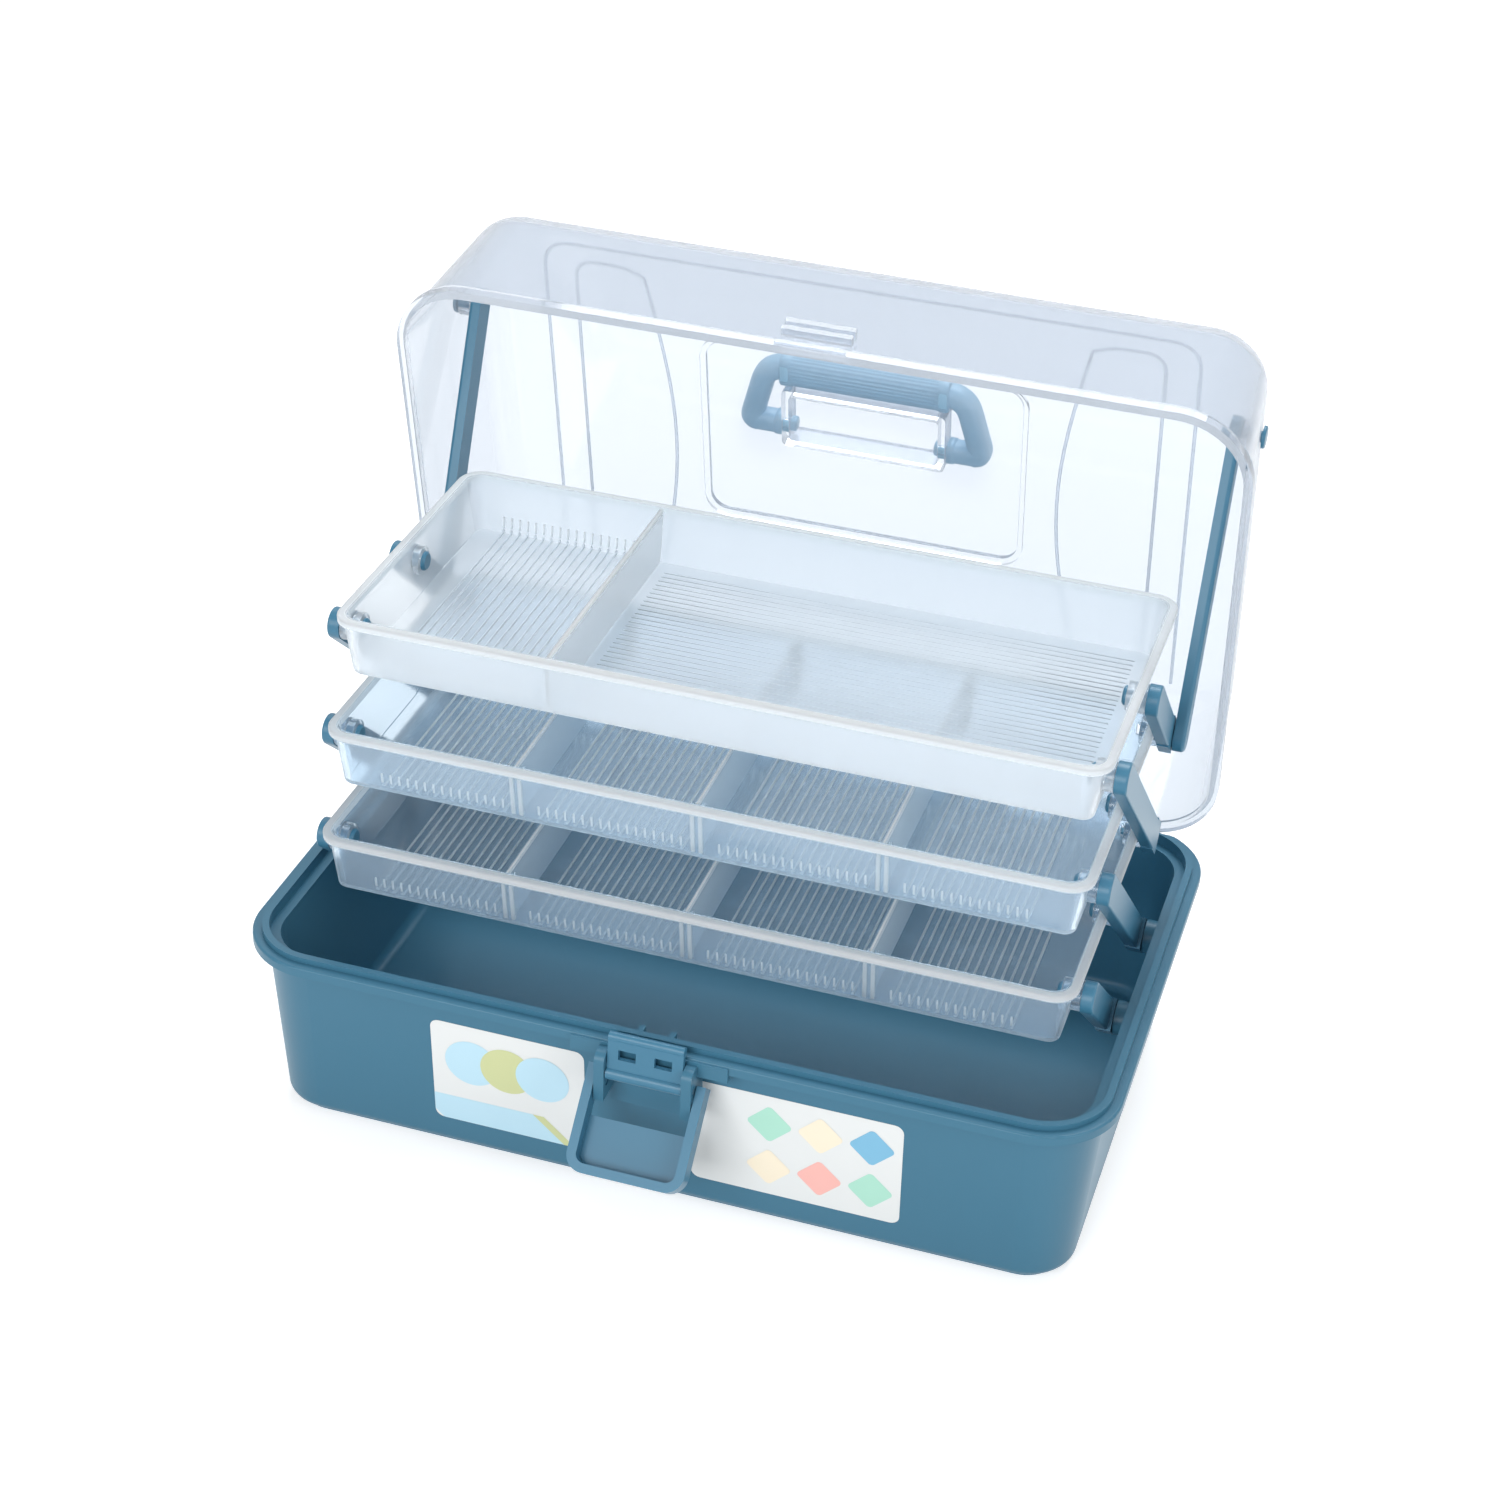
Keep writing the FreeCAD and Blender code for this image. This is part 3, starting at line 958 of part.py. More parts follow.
pad(lever, panel, "Sizes.lever_panel")
for side, word in ((1, "right"), (-1, "left")):
    stub = side_sketch(lever, "stub_" + word, side, "Sizes.bracket_half + 0.5")
    circle(stub, "stub", "lever_pin_radius", named("lever_pivot_depth", -1), plain(0.0))
    pad(lever, stub, "Sizes.lever_half - Sizes.bracket_half - 1", side < 0)
turn = FreeCAD.Rotation(V(1, 0, 0), -value("lever_lean"))
shift = turn.multVec(V(0, -value("lever_pivot_depth"), 0))
lever.Placement = FreeCAD.Placement(V(0, -value("lever_pivot_front"), value("lever_pivot_level")) - shift,
                                    turn)
finished.append(lever)
finished += hinge_pins
place(lid_body, value("hinge_back"), value("hinge_level"), -value("lid_open"))
document.recompute()

# Checks and files
for item in document.Objects:
    if "Invalid" in item.State or "Error" in item.State:
        raise RuntimeError("bad feature %s %s" % (item.Name, item.State))
os.makedirs("parts", exist_ok=True)
for body in finished:
    shape = body.Shape
    if shape.isNull() or not shape.isValid() or len(shape.Solids) != 1:
        raise RuntimeError("bad shape %s %d solids" % (body.Label, len(shape.Solids)))
    shape.exportStep("parts/%s.step" % body.Label)
    box = shape.BoundBox
    ends = (box.YMin, box.YMax, box.ZMin, box.ZMax)
    print("%-18s volume %9.0f  y %7.1f %7.1f  z %6.1f %6.1f" % ((body.Label, shape.Volume) + ends))
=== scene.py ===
import math

import bmesh
import bpy
import numpy as np
from mathutils import Matrix, Vector


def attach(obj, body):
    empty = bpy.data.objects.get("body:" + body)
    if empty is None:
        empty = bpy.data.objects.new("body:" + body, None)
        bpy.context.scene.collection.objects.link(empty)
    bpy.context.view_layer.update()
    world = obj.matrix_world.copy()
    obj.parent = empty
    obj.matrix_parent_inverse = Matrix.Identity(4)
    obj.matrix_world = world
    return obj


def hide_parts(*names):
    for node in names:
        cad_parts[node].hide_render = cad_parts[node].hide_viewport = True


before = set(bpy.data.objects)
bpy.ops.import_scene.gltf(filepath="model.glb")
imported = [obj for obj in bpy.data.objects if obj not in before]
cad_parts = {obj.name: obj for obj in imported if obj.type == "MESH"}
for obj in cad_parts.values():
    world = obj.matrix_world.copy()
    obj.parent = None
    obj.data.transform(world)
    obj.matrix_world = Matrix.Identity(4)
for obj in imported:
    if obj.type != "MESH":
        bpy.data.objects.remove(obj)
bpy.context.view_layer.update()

# Pieces are measured in millimetres in the frame of the box: +X right, +Y to the hinge, +Z up.
# Places, sizes and distances of materials, light and camera are in metres.

# Lid: the hinge line's y and z, the angle it stands open at rest, and its roof and the floor of the
# handle's well above the hinge line when it is shut
HINGE = (115.0, 90.5)
LID_OPEN = math.radians(79.1)
LID_ROOF = 81.9
WELL_FLOOR = LID_ROOF - 2.4

# Trays: the middle (y) and pin level (z) of each, then what they share, measured from these
TRAYS = {"tray_lower": (-4.60, 117.96), "tray_middle": (5.36, 164.71),
         "tray_upper": (18.49, 211.47)}
TRAY_FLOOR = -15.0
FLOOR_HALF_DEPTH = 67.3
WALL_SLOPE = 3.4 / 24.7
DIVIDERS = np.array([-79.0, 0.0, 79.0])

# Front wall of the bin: y at its foot, the foot's z, and its slope
FRONT_WALL = (-105.85, 3.0, 5.95 / 83.2)


# Materials

def linear(code):
    """Linear red, green, blue and alpha of an sRGB colour written as a hex string."""
    parts = np.array([int(code[k:k + 2], 16) for k in (1, 3, 5)]) / 255
    light = np.where(parts <= 0.04045, parts / 12.92, ((parts + 0.055) / 1.055) ** 2.4)
    return (*light.tolist(), 1.0)


def add(tree, kind, settings=None, **inputs):
    """A shader node with its settings, and its inputs set to values or linked to sockets.

    An input goes by its name with _ for a space, or by its place as i0, i1 and so on.
    """
    node = tree.nodes.new(kind)
    for name, setting in (settings or {}).items():
        setattr(node, name, setting)
    for name, source in inputs.items():
        by_place = name[0] == "i" and name[1:].isdigit()
        socket = node.inputs[int(name[1:]) if by_place else name.replace("_", " ")]
        if isinstance(source, bpy.types.NodeSocket):
            tree.links.new(source, socket)
        else:
            socket.default_value = source
    return node


def material(name):
    """A new material and its empty node tree."""
    made = bpy.data.materials.new(name)
    made.use_nodes = True
    made.node_tree.nodes.clear()
    return made, made.node_tree


def moulded_polypropylene(name, colour, roughness, grain, gloss):
    """Opaque injection-moulded polypropylene: an even colour, a soft gloss, and a faint
    unevenness of the mould's polish, 9 mm wide and at most 0.2 mm deep, that breaks up the
    reflections."""
    made, tree = material(name)
    place = add(tree, "ShaderNodeTexCoord").outputs["Object"]
    waves = add(tree, "ShaderNodeTexNoise", Vector=place, Scale=1 / 0.009, Detail=3.0)
    bump = add(tree, "ShaderNodeBump", Height=waves.outputs["Fac"], Strength=grain,
               Distance=0.0002)
    skin = add(tree, "ShaderNodeBsdfPrincipled", Base_Color=linear(colour), Roughness=roughness,
               IOR=1.49, Specular_IOR_Level=gloss, Normal=bump.outputs["Normal"])
    add(tree, "ShaderNodeOutputMaterial", Surface=skin.outputs["BSDF"])
    return made


def clear_polypropylene(name, colour, haze, rim_haze, roughness, passing_light):
    """Clarified polypropylene, moulded: light passes with a slight milky haze, which shows as a
    pale veil where several walls lie behind each other. The veil's share is haze where a wall is
    seen square on and rises with the fourth power of the grazing share to rim_haze where it is
    seen edge-on, and it glows from both sides. Of light on its way to another surface each skin
    of a wall lets the share passing_light straight through."""
    made, tree = material(name)
    clear = add(tree, "ShaderNodeBsdfPrincipled", Base_Color=linear(colour), Roughness=roughness,
                IOR=1.45, Transmission_Weight=1.0)
    front = add(tree, "ShaderNodeBsdfDiffuse", Color=linear(colour))
    behind = add(tree, "ShaderNodeBsdfTranslucent", Color=linear(colour))
    veil = add(tree, "ShaderNodeMixShader", i0=0.5, i1=front.outputs[0], i2=behind.outputs[0])
    grazing = add(tree, "ShaderNodeLayerWeight", Blend=0.5).outputs["Facing"]
    steep = add(tree, "ShaderNodeMath", {"operation": "POWER"}, i0=grazing, i1=4.0)
    share = add(tree, "ShaderNodeMapRange", Value=steep.outputs[0], To_Min=haze, To_Max=rim_haze)
    wall = add(tree, "ShaderNodeMixShader", i0=share.outputs["Result"], i1=clear.outputs[0],
               i2=veil.outputs[0])
    open_way = add(tree, "ShaderNodeBsdfTransparent", Color=linear(passing_light))
    rays = add(tree, "ShaderNodeLightPath").outputs
    passing = add(tree, "ShaderNodeMath", {"operation": "MAXIMUM"}, i0=rays["Is Shadow Ray"],
                  i1=rays["Is Diffuse Ray"])
    whole = add(tree, "ShaderNodeMixShader", i0=passing.outputs[0], i1=wall.outputs[0],
                i2=open_way.outputs[0])
    add(tree, "ShaderNodeOutputMaterial", Surface=whole.outputs[0])
    return made


def drawn_steel():
    """Bright drawn steel wire: fine scratches along its length, half a millimetre apart."""
    made, tree = material("drawn steel wire")
    place = add(tree, "ShaderNodeTexCoord").outputs["Object"]
    lines = add(tree, "ShaderNodeMapping", Vector=place, Scale=(1 / 0.05, 1 / 0.0005, 1 / 0.0005))
    grain = add(tree, "ShaderNodeTexNoise", Vector=lines.outputs["Vector"], Scale=1.0)
    bump = add(tree, "ShaderNodeBump", Height=grain.outputs["Fac"], Strength=0.1, Distance=0.0001)
    skin = add(tree, "ShaderNodeBsdfPrincipled", Base_Color=linear("#c4c6c8"), Metallic=1.0,
               Roughness=0.28, Normal=bump.outputs["Normal"])
    add(tree, "ShaderNodeOutputMaterial", Surface=skin.outputs["BSDF"])
    return made


def printed_film(name, colour):
    """Printed label film with a clear laminate: flat colour under a smooth semi-gloss."""
    made, tree = material(name)
    skin = add(tree, "ShaderNodeBsdfPrincipled", Base_Color=linear(colour), Roughness=0.3, IOR=1.5)
    add(tree, "ShaderNodeOutputMaterial", Surface=skin.outputs["BSDF"])
    return made


TRAY_SKIN_LIGHT = "#eaeff2"
bin_plastic = moulded_polypropylene("moulded teal polypropylene", "#3e718a", roughness=0.36,
                                    grain=0.10, gloss=0.3)
link_plastic = moulded_polypropylene("moulded blue link polypropylene", "#3e7591", roughness=0.34,
                                     grain=0.06, gloss=0.4)
handle_plastic = moulded_polypropylene("moulded light blue handle polypropylene", "#9ecae4",
                                       roughness=0.35, grain=0.06, gloss=0.5)
lid_plastic = clear_polypropylene("clarified lid polypropylene", "#dbe1e9", haze=0.16,
                                  rim_haze=0.70, roughness=0.06, passing_light="#f5f7f8")
tray_plastic = clear_polypropylene("clarified tray polypropylene", "#e2f1fd", haze=0.19,
                                   rim_haze=0.75, roughness=0.10, passing_light=TRAY_SKIN_LIGHT)
# Painted light: the top tray gets a whiter, hazier copy of the same tray plastic, which stands in
# for the stronger light from above that falls on it
top_lit_tray_plastic = clear_polypropylene("clarified upper tray polypropylene", "#f3f8fd", haze=0.32,
                                    rim_haze=0.75, roughness=0.14, passing_light=TRAY_SKIN_LIGHT)
rib_plastic = clear_polypropylene("ribbed clarified polypropylene", "#f3f9ff", haze=0.50,
                                  rim_haze=0.80, roughness=0.10, passing_light=TRAY_SKIN_LIGHT)
edge_plastic = clear_polypropylene("thick clarified polypropylene edge", "#fbfdff", haze=0.88,
                                   rim_haze=0.94, roughness=0.10, passing_light=TRAY_SKIN_LIGHT)
steel = drawn_steel()

# The top tray takes the copy of the tray plastic that is painted whiter for light from above
FINISHES = {"base_bin": bin_plastic, "lid_shell": lid_plastic, "handle": handle_plastic,
            "tray_upper": top_lit_tray_plastic, "latch_pin": steel, "hinge_pin_left": steel,
            "hinge_pin_right": steel}
for name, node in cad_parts.items():
    finish = FINISHES.get(name)
    if finish is None:
        finish = tray_plastic if name.startswith(("tray", "divider")) else link_plastic
    node.data.materials.clear()
    node.data.materials.append(finish)


# Surfaces

BEAD_POINTS = 8
MERGE_DISTANCE = 1e-7


def grid(x, y, z):
    """Points from three coordinates, each a number or an array, spread over one grid."""
    return np.stack(np.broadcast_arrays(x, y, z), axis=-1).astype(float)


def net(rows, count, ring=False):
    """Four-cornered faces between the points of neighbouring rows, closed round each row, and
    from the last row on to the first where the rows make a ring."""
    r, k = np.meshgrid(np.arange(rows if ring else rows - 1), np.arange(count), indexing="ij")
    here, after = r * count, (r + 1) % rows * count
    return np.stack((here + k, here + (k + 1) % count, after + (k + 1) % count, after + k),
                    axis=-1).reshape(-1, 4)


def oval(angle, power):
    """How far an oval of half size one reaches out at an angle, over a circle: the sum of the
    powers of cosine and sine, to the power of minus one by the power."""
    return (np.abs(np.cos(angle)) ** power + np.abs(np.sin(angle)) ** power) ** (-1 / power)


def piece(name, points, faces, finish, body):
    """A mesh of points in millimetres that rides on a body of the box."""
    mesh = bpy.data.meshes.new(name)
    mesh.from_pydata((np.asarray(points).reshape(-1, 3) / 1000).tolist(), [], faces)
    mesh.validate()
    mesh.materials.append(finish)
    made = bpy.data.objects.new(name, mesh)
    bpy.context.scene.collection.objects.link(made)
    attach(made, body)
    return made


def closed_piece(name, points, faces, finish, body):
    """A piece with its doubled points merged and its faces smooth and turned outwards."""
    made = piece(name, points, faces, finish, body)
    work = bmesh.new()
    work.from_mesh(made.data)
    bmesh.ops.remove_doubles(work, verts=work.verts, dist=MERGE_DISTANCE)
    bmesh.ops.recalc_face_normals(work, faces=work.faces)
    work.to_mesh(made.data)
    work.free()
    made.data.polygons.foreach_set("use_smooth", np.ones(len(made.data.polygons), bool))
    return made


def beads(paths, ups, size):
    """Beads along many paths at once, as points and faces.

    Each bead is a tube of half-oval section: at a path's point, an angle t from 0 to a full turn
    gives a point half the width times cos(t) along the side vector and the height times sin(t),
    cut at the base, along the up vector. The side vector is square to the path and the up vector.
    The rings at both ends draw in to the path's own ends, which closes the bead.
    paths and ups have the shape (beads, points, 3), and size is the width and height.
    """
    width, height = size
    side = np.cross(np.gradient(paths, axis=1), ups)
    side /= np.linalg.norm(side, axis=2, keepdims=True)
    turn = np.arange(BEAD_POINTS) / BEAD_POINTS * 2 * np.pi
    across = width / 2 * np.cos(turn)
    rise = height * np.maximum(np.sin(turn), 0)
    rings = (paths[:, :, None] + side[:, :, None] * across[None, None, :, None]
             + ups[:, :, None] * rise[None, None, :, None])
    first, last = (np.repeat(end[:, :, None], BEAD_POINTS, axis=2)
                   for end in (paths[:, :1], paths[:, -1:]))
    rings = np.concatenate((first, rings, last), axis=1)
    count, rows = rings.shape[:2]
    starts = np.arange(count) * rows * BEAD_POINTS
    faces = starts[:, None, None] + net(rows, BEAD_POINTS)
    return rings.reshape(-1, 3), faces.reshape(-1, 4)


def bead_piece(name, runs, size, finish, body):
    """One object from several sets of beads, each a pair of paths and up vectors."""
    points, faces, start = [], [], 0
    for paths, ups in runs:
        some, quads = beads(paths, ups, size)
        points.append(some)
        faces.append(quads + start)
        start += len(some)
    return closed_piece(name, np.concatenate(points), np.concatenate(faces).tolist(), finish,
                        body)


def tray_beads(tray, what, runs, size, finish):
    """Beads of clear plastic that ride on a tray and are named after it."""
    return bead_piece(tray + what, runs, size, finish, tray)


# Ribs of the trays: on the floor, with a short turn up to each wall, and ticks above their ends

# Distance from rib to rib, their lift off the floor, and width and height of each kind
RIB_PITCH = 3.9
RIB_LIFT = 0.03
FLOOR_RIB = (1.1, 0.55)
WALL_TICK = (0.9, 0.6)
LONG_RIB = (0.7, 0.12)
TICK_HEIGHTS = np.array([2.6, 4.0, 6.0, 7.5])
TICK_SINK = 0.1

# From where to where the ribs of a compartment reach in x, and for the large one also in y
FOUR_SPANS = ((-141, -84), (-71, -5), (8, 74), (87, 141))
UPPER_SPANS = ((-146, -77),)
LARGE_FLOOR = ((-64, 150), (-60, 60))


def rib_places(low, high):
    """Evenly spaced places between two sides, centred between them."""
    count = int((high - low) / RIB_PITCH) + 1
    return (low + high) / 2 + (np.arange(count) - (count - 1) / 2) * RIB_PITCH


def cross_ribs(tray, left, right):
    """Ribs on the floor from rear to front. Each comes down the last 1.6 mm of the rear wall,
    rounds the corner, runs flat just above the floor and goes up the front wall in the same way,
    and its up vector turns from the wall's inward direction to straight up and on."""
    middle, level = TRAYS[tray]
    edge = FLOOR_HALF_DEPTH - 0.05
    rear = np.array([(edge + 0.2, 1.6, -1.0, 0.14), (edge - 0.3, 0.3 + RIB_LIFT, -0.7, 0.7),
                     (edge - 1.1, RIB_LIFT, 0.0, 1.0)])
    y, z, up_y, up_z = np.concatenate((rear, [(0, RIB_LIFT, 0, 1)],
                                       rear[::-1] * (-1, 1, -1, 1))).T
    x = rib_places(left, right)[:, None]
    return grid(x, middle + y, level + TRAY_FLOOR + z), grid(0 * x, up_y, up_z)


def long_ribs(tray, sides, ends):
    """Ribs along the tray's length on its floor, evenly spaced from front to rear."""
    middle, level = TRAYS[tray]
    y = middle + rib_places(*ends)[:, None]
    paths = grid(np.linspace(*sides, 4), y, level + TRAY_FLOOR + RIB_LIFT)
    return paths, np.broadcast_to((0, 0, 1), paths.shape)


def wall_beads(tray, x, high, sink):
    """Upright lines on the inner faces of the front and rear walls: y is the floor's half depth
    plus the slope times the height, and the line is sunk into the wall."""
    middle, level = TRAYS[tray]
    reach = FLOOR_HALF_DEPTH + WALL_SLOPE * high + sink
    for side in (-1, 1):
        paths = grid(x[:, None], middle + side * reach, level + TRAY_FLOOR + high)
        yield paths, np.broadcast_to((0, -side, 0), paths.shape)


# The top tray's ribs take its plastic that is painted whiter for light from above
for tray, spans, finish in (("tray_lower", FOUR_SPANS, rib_plastic),
                            ("tray_middle", FOUR_SPANS, rib_plastic),
                            ("tray_upper", UPPER_SPANS, top_lit_tray_plastic)):
    ribs = [cross_ribs(tray, *span) for span in spans]
    tray_beads(tray, "_floor_ribs", ribs, FLOOR_RIB, finish)
    ticks = [run for span in spans
             for run in wall_beads(tray, rib_places(*span), TICK_HEIGHTS, TICK_SINK)]
    tray_beads(tray, "_wall_ticks", ticks, WALL_TICK, edge_plastic)
# The top tray's long ribs also take its plastic that is painted whiter for light from above
tray_beads("tray_upper", "_long_ribs", [long_ribs("tray_upper", *LARGE_FLOOR)], LONG_RIB,
           top_lit_tray_plastic)


# Rims, guides and divider edges: thick edges of the trays, which look whiter than their walls

# Rim: half sizes and corner of its outline, how far inside it and how high above the pins its
# middle runs, and the half width and half height of its band
RIM_HALF = np.array([164.8, 75.0])
RIM_RADIUS = 11.0
RIM_INSET = 1.90
RIM_LEVEL = 9.2
RIM_BAND = (1.97, 1.56)

# Guides of the dividers: heights above the floor, distance from a divider's middle, and depth in
# the wall. Then width and height of the guides and of the upright walls' top edges
GUIDE_HEIGHTS = np.array([0.6, 8.0, 15.0, 22.2])
GUIDE_OFFSET = 1.72
GUIDE_SINK = 0.2
GUIDE = (1.7, 2.95)
DIVIDER_EDGE = (1.75, 1.0)
WALL_EDGE = (2.0, 1.4)
UPPER_WALL = -70.0


def rim_jacket(tray):
    """Band round the rim: an oval of sixth power with the half sizes of RIM_BAND, carried round a
    rounded rectangle. A point of the rectangle is its corner's centre plus the radius along the
    outward direction, and the oval's offset goes along that direction."""
    middle, level = TRAYS[tray]
    quarter = np.linspace(0, np.pi / 2, 9)
    angle = np.concatenate([quarter + k * np.pi / 2 for k in range(4)])
    out = np.stack((np.cos(angle), np.sin(angle)), axis=1)
    corners = np.repeat([(1, 1), (-1, 1), (-1, -1), (1, -1)], len(quarter), axis=0)
    hearts = corners * (RIM_HALF - RIM_RADIUS) + (0, middle)
    around = np.arange(20) / 20 * 2 * np.pi
    offset = RIM_RADIUS - RIM_INSET + RIM_BAND[0] * oval(around, 6) * np.cos(around)
    height = level + RIM_LEVEL + RIM_BAND[1] * oval(around, 6) * np.sin(around)
    flat = hearts[:, None] + out[:, None] * offset[None, :, None]
    closed_piece(tray + "_rim", grid(flat[:, :, 0], flat[:, :, 1], height),
                 net(len(angle), len(around), ring=True).tolist(), edge_plastic, tray)


def top_edges(tray, x, half, height):
    """Straight lines from front to rear along the top edges of upright walls."""
    middle, level = TRAYS[tray]
    paths = grid(np.reshape(x, (-1, 1)), middle + np.array([-half, 0.0, half]), level + height)
    return [(paths, np.broadcast_to((0, 0, 1), paths.shape))]


for tray in TRAYS:
    rim_jacket(tray)
guide_places = np.stack((DIVIDERS - GUIDE_OFFSET, DIVIDERS + GUIDE_OFFSET), axis=1).ravel()
for tray in ("tray_lower", "tray_middle"):
    guides = wall_beads(tray, guide_places, GUIDE_HEIGHTS, GUIDE_SINK)
    tray_beads(tray, "_guides", guides, GUIDE, edge_plastic)
    edges = top_edges(tray, DIVIDERS, half=69.8, height=9.35)
    tray_beads(tray, "_divider_edges", edges, DIVIDER_EDGE, edge_plastic)
edges = top_edges("tray_upper", UPPER_WALL, half=70.0, height=9.0)
tray_beads("tray_upper", "_wall_edge", edges, WALL_EDGE, edge_plastic)


# Raised lines on the lid's top

LINE_LIFT = 0.02
LID_LINE = (1.6, 0.5)


def on_lid(x, along, above):
    """A point of the closed lid, along from the hinge and above it, turned to where the lid
    stands at rest."""
    y = HINGE[0] - along * math.cos(LID_OPEN) + above * math.sin(LID_OPEN)
    z = HINGE[1] + along * math.sin(LID_OPEN) + above * math.cos(LID_OPEN)
    return grid(x, y, z)


def rounded_path(corners, radii, steps=7):
    """Flat path through corners with a round at each inner one.

    At a corner the path follows a quadratic curve between the two points a radius away from it.
    """
    corners = np.asarray(corners, float)
    points = [corners[:1]]
    for corner, before, after, radius in zip(corners[1:-1], corners, corners[2:], radii):
        start, end = (corner + (other - corner) / np.linalg.norm(other - corner) * radius
                      for other in (before, after))
        t = np.linspace(0, 1, steps)[:, None]
        points.append((1 - t) ** 2 * start + 2 * t * (1 - t) * corner + t ** 2 * end)
    points.append(corners[-1:])
    return np.concatenate(points)


def lid_line(flat):
    """A path on the lid's roof through flat points of x and along, and its up vectors."""
    paths = on_lid(flat[:, 0], flat[:, 1], LID_ROOF + LINE_LIFT)[None]
    return paths, np.broadcast_to(on_lid(0, 0, 1) - on_lid(0, 0, 0), paths.shape)


def bowed(x_end, x_middle, low, high):
    """Curve between two heights that bows from x_end to x_middle as a half wave of sine."""
    t = np.linspace(0, 1, 17)
    x = x_end + (x_middle - x_end) * np.sin(np.pi * t)
    return np.stack((x, low + (high - low) * t), axis=1)


lines = [lid_line(rounded_path([(-152, 16), (-152, 208), (152, 208), (152, 16)], [14, 14]))]
for side in (-1, 1):
    bow = bowed(side * 104, side * 92, 24, 196)
    top = [(side * 137, 24), (side * 137, 200), (side * 112, 200), tuple(bow[-1])]
    lines.append(lid_line(rounded_path(top, [10, 8])))
    lines.append(lid_line(bow[::-1]))
bead_piece("lid_lines", lines, LID_LINE, lid_plastic, "lid")


# Handle: the tube and the fluted sleeve of its grip

# Lines along the lid from the hinge, and the height of the tube's middle above the hinge line
PIVOT_LINE = 128.0
GRIP_LINE = 159.0
HANDLE_LEVEL = WELL_FLOOR + 6.1
TUBE_HALF_HEIGHT = 5.3

# Half sizes of the grip's section, how far its collars stand out, and its flutes
GRIP_HALF = (7.0, 5.5)
COLLAR_BULGE = 0.9
FLUTES = 24
FLUTE_DEPTH = 0.35
FLUTE_END = 34.5


def loft(name, rings, finish, body):
    """A closed tube through rings of equal counts, its first and last ring filled."""
    rows, count = rings.shape[:2]
    ends = [list(range(count)), list(range((rows - 1) * count, rows * count))]
    return closed_piece(name, rings, net(rows, count).tolist() + ends, finish, body)


def grip_sleeve():
    """Sleeve round the grip: a closed oval of fourth power with the half sizes of GRIP_HALF,
    swollen at both ends by a collar and fluted along its length between them by a cosine of the
    angle. The table of half its length gives places from the middle and the swelling there."""
    half = np.array([(-40, -3), (-40, 0.2), (-39.3, COLLAR_BULGE), (-36, COLLAR_BULGE),
                     (-35, 0.6), (-34, 0.2), (-20, 0.2)])
    along, swell = np.concatenate((half, [(0, 0.2)], half[::-1] * (-1, 1))).T
    angle = np.arange(96) / 96 * 2 * np.pi
    flute = FLUTE_DEPTH * np.cos(FLUTES * angle) * (np.abs(along) < FLUTE_END)[:, None]
    reach = oval(angle, 4) * (1 + (swell[:, None] + flute) / GRIP_HALF[0])
    across = GRIP_HALF[0] * np.cos(angle) * reach
    above = GRIP_HALF[1] * np.sin(angle) * reach
    return on_lid(along[:, None], GRIP_LINE + across, HANDLE_LEVEL + above)


def handle_frame():
    """Tube of the handle: from a pin in the hub's end through a collar and a round leg to the
    lower corner, up a slanting arm to the grip, and the same back on the other side.

    Round a point of that line the section is an oval of third power. Its half size across the
    line is 2.8 to 3.2 at the pin, 5.7 at the collar, 5.1 at the leg, 5.4 at the arm and 6 at the
    grip. The half size above it is the same, but no more than TUBE_HALF_HEIGHT.
    """
    bend = rounded_path([(0.0, GRIP_LINE), (47.0, GRIP_LINE), (55.5, PIVOT_LINE),
                         (43.2, PIVOT_LINE)], [9.0, 4.5], 9)
    leg = np.array([(43.0, 5.1), (42.8, 5.7), (39.6, 5.7), (39.4, 3.2), (33.4, 3.2), (33.0, 2.8)])
    half = np.concatenate((bend, leg * (1, 0) + (0, PIVOT_LINE)))
    width = np.concatenate((np.full(len(bend), 5.4), leg[:, 1]))
    width[:2] = 6.0
    width[len(bend) - 2:len(bend)] = 5.1
    line = np.concatenate((half[::-1] * (-1, 1), half[1:]))
    width = np.concatenate((width[::-1], width[1:]))
    ahead = np.gradient(line, axis=0)
    ahead /= np.linalg.norm(ahead, axis=1, keepdims=True)
    turn = np.arange(48) / 48 * 2 * np.pi
    across = width[:, None] * oval(turn, 3) * np.cos(turn)
    above = np.minimum(width, TUBE_HALF_HEIGHT)[:, None] * oval(turn, 3) * np.sin(turn)
    x = line[:, :1] - ahead[:, 1:] * across
    along = line[:, 1:] + ahead[:, :1] * across
    return on_lid(x, along, HANDLE_LEVEL + above)


loft("grip_sleeve", grip_sleeve(), handle_plastic, "handle")
handle_tube = loft("handle_frame", handle_frame(), handle_plastic, "handle")
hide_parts("handle")


# Label on the front wall: white film on both sides of the latch, with plain discs and diamonds

LABEL_LOW, LABEL_HIGH = 17.5, 72.3
LABEL_CORNER = 4.0
FILM_LIFT = 0.12
PRINT_LIFT = 0.17
PRINT_STEP = 0.02
DISC_RADIUS = 12.0
TILE_HALF = 7.2
TILE_CORNER = 2.0
COLOURS = {"sky": "#b9dcec", "olive": "#c9cf9a", "mint": "#a9dcc9", "salmon": "#f2b6ae",
           "blue": "#79b6d6", "cream": "#f1e6cf"}


def on_front(x, z, lift):
    """A point on the bin's sloping front wall, lifted off it along its normal."""
    face, low, slope = FRONT_WALL
    run = math.hypot(1, slope)
    return grid(x, face - slope * (z - low) - lift / run, z - lift * slope / run)


def film(name, outline, lift, finish):
    """A flat film on the front wall inside a closed outline of x and z."""
    outline = np.asarray(outline, float)
    made = piece(name, on_front(outline[:, 0], outline[:, 1], lift), [list(range(len(outline)))],
                 finish, "bin")
    made.data.polygons[0].use_smooth = False


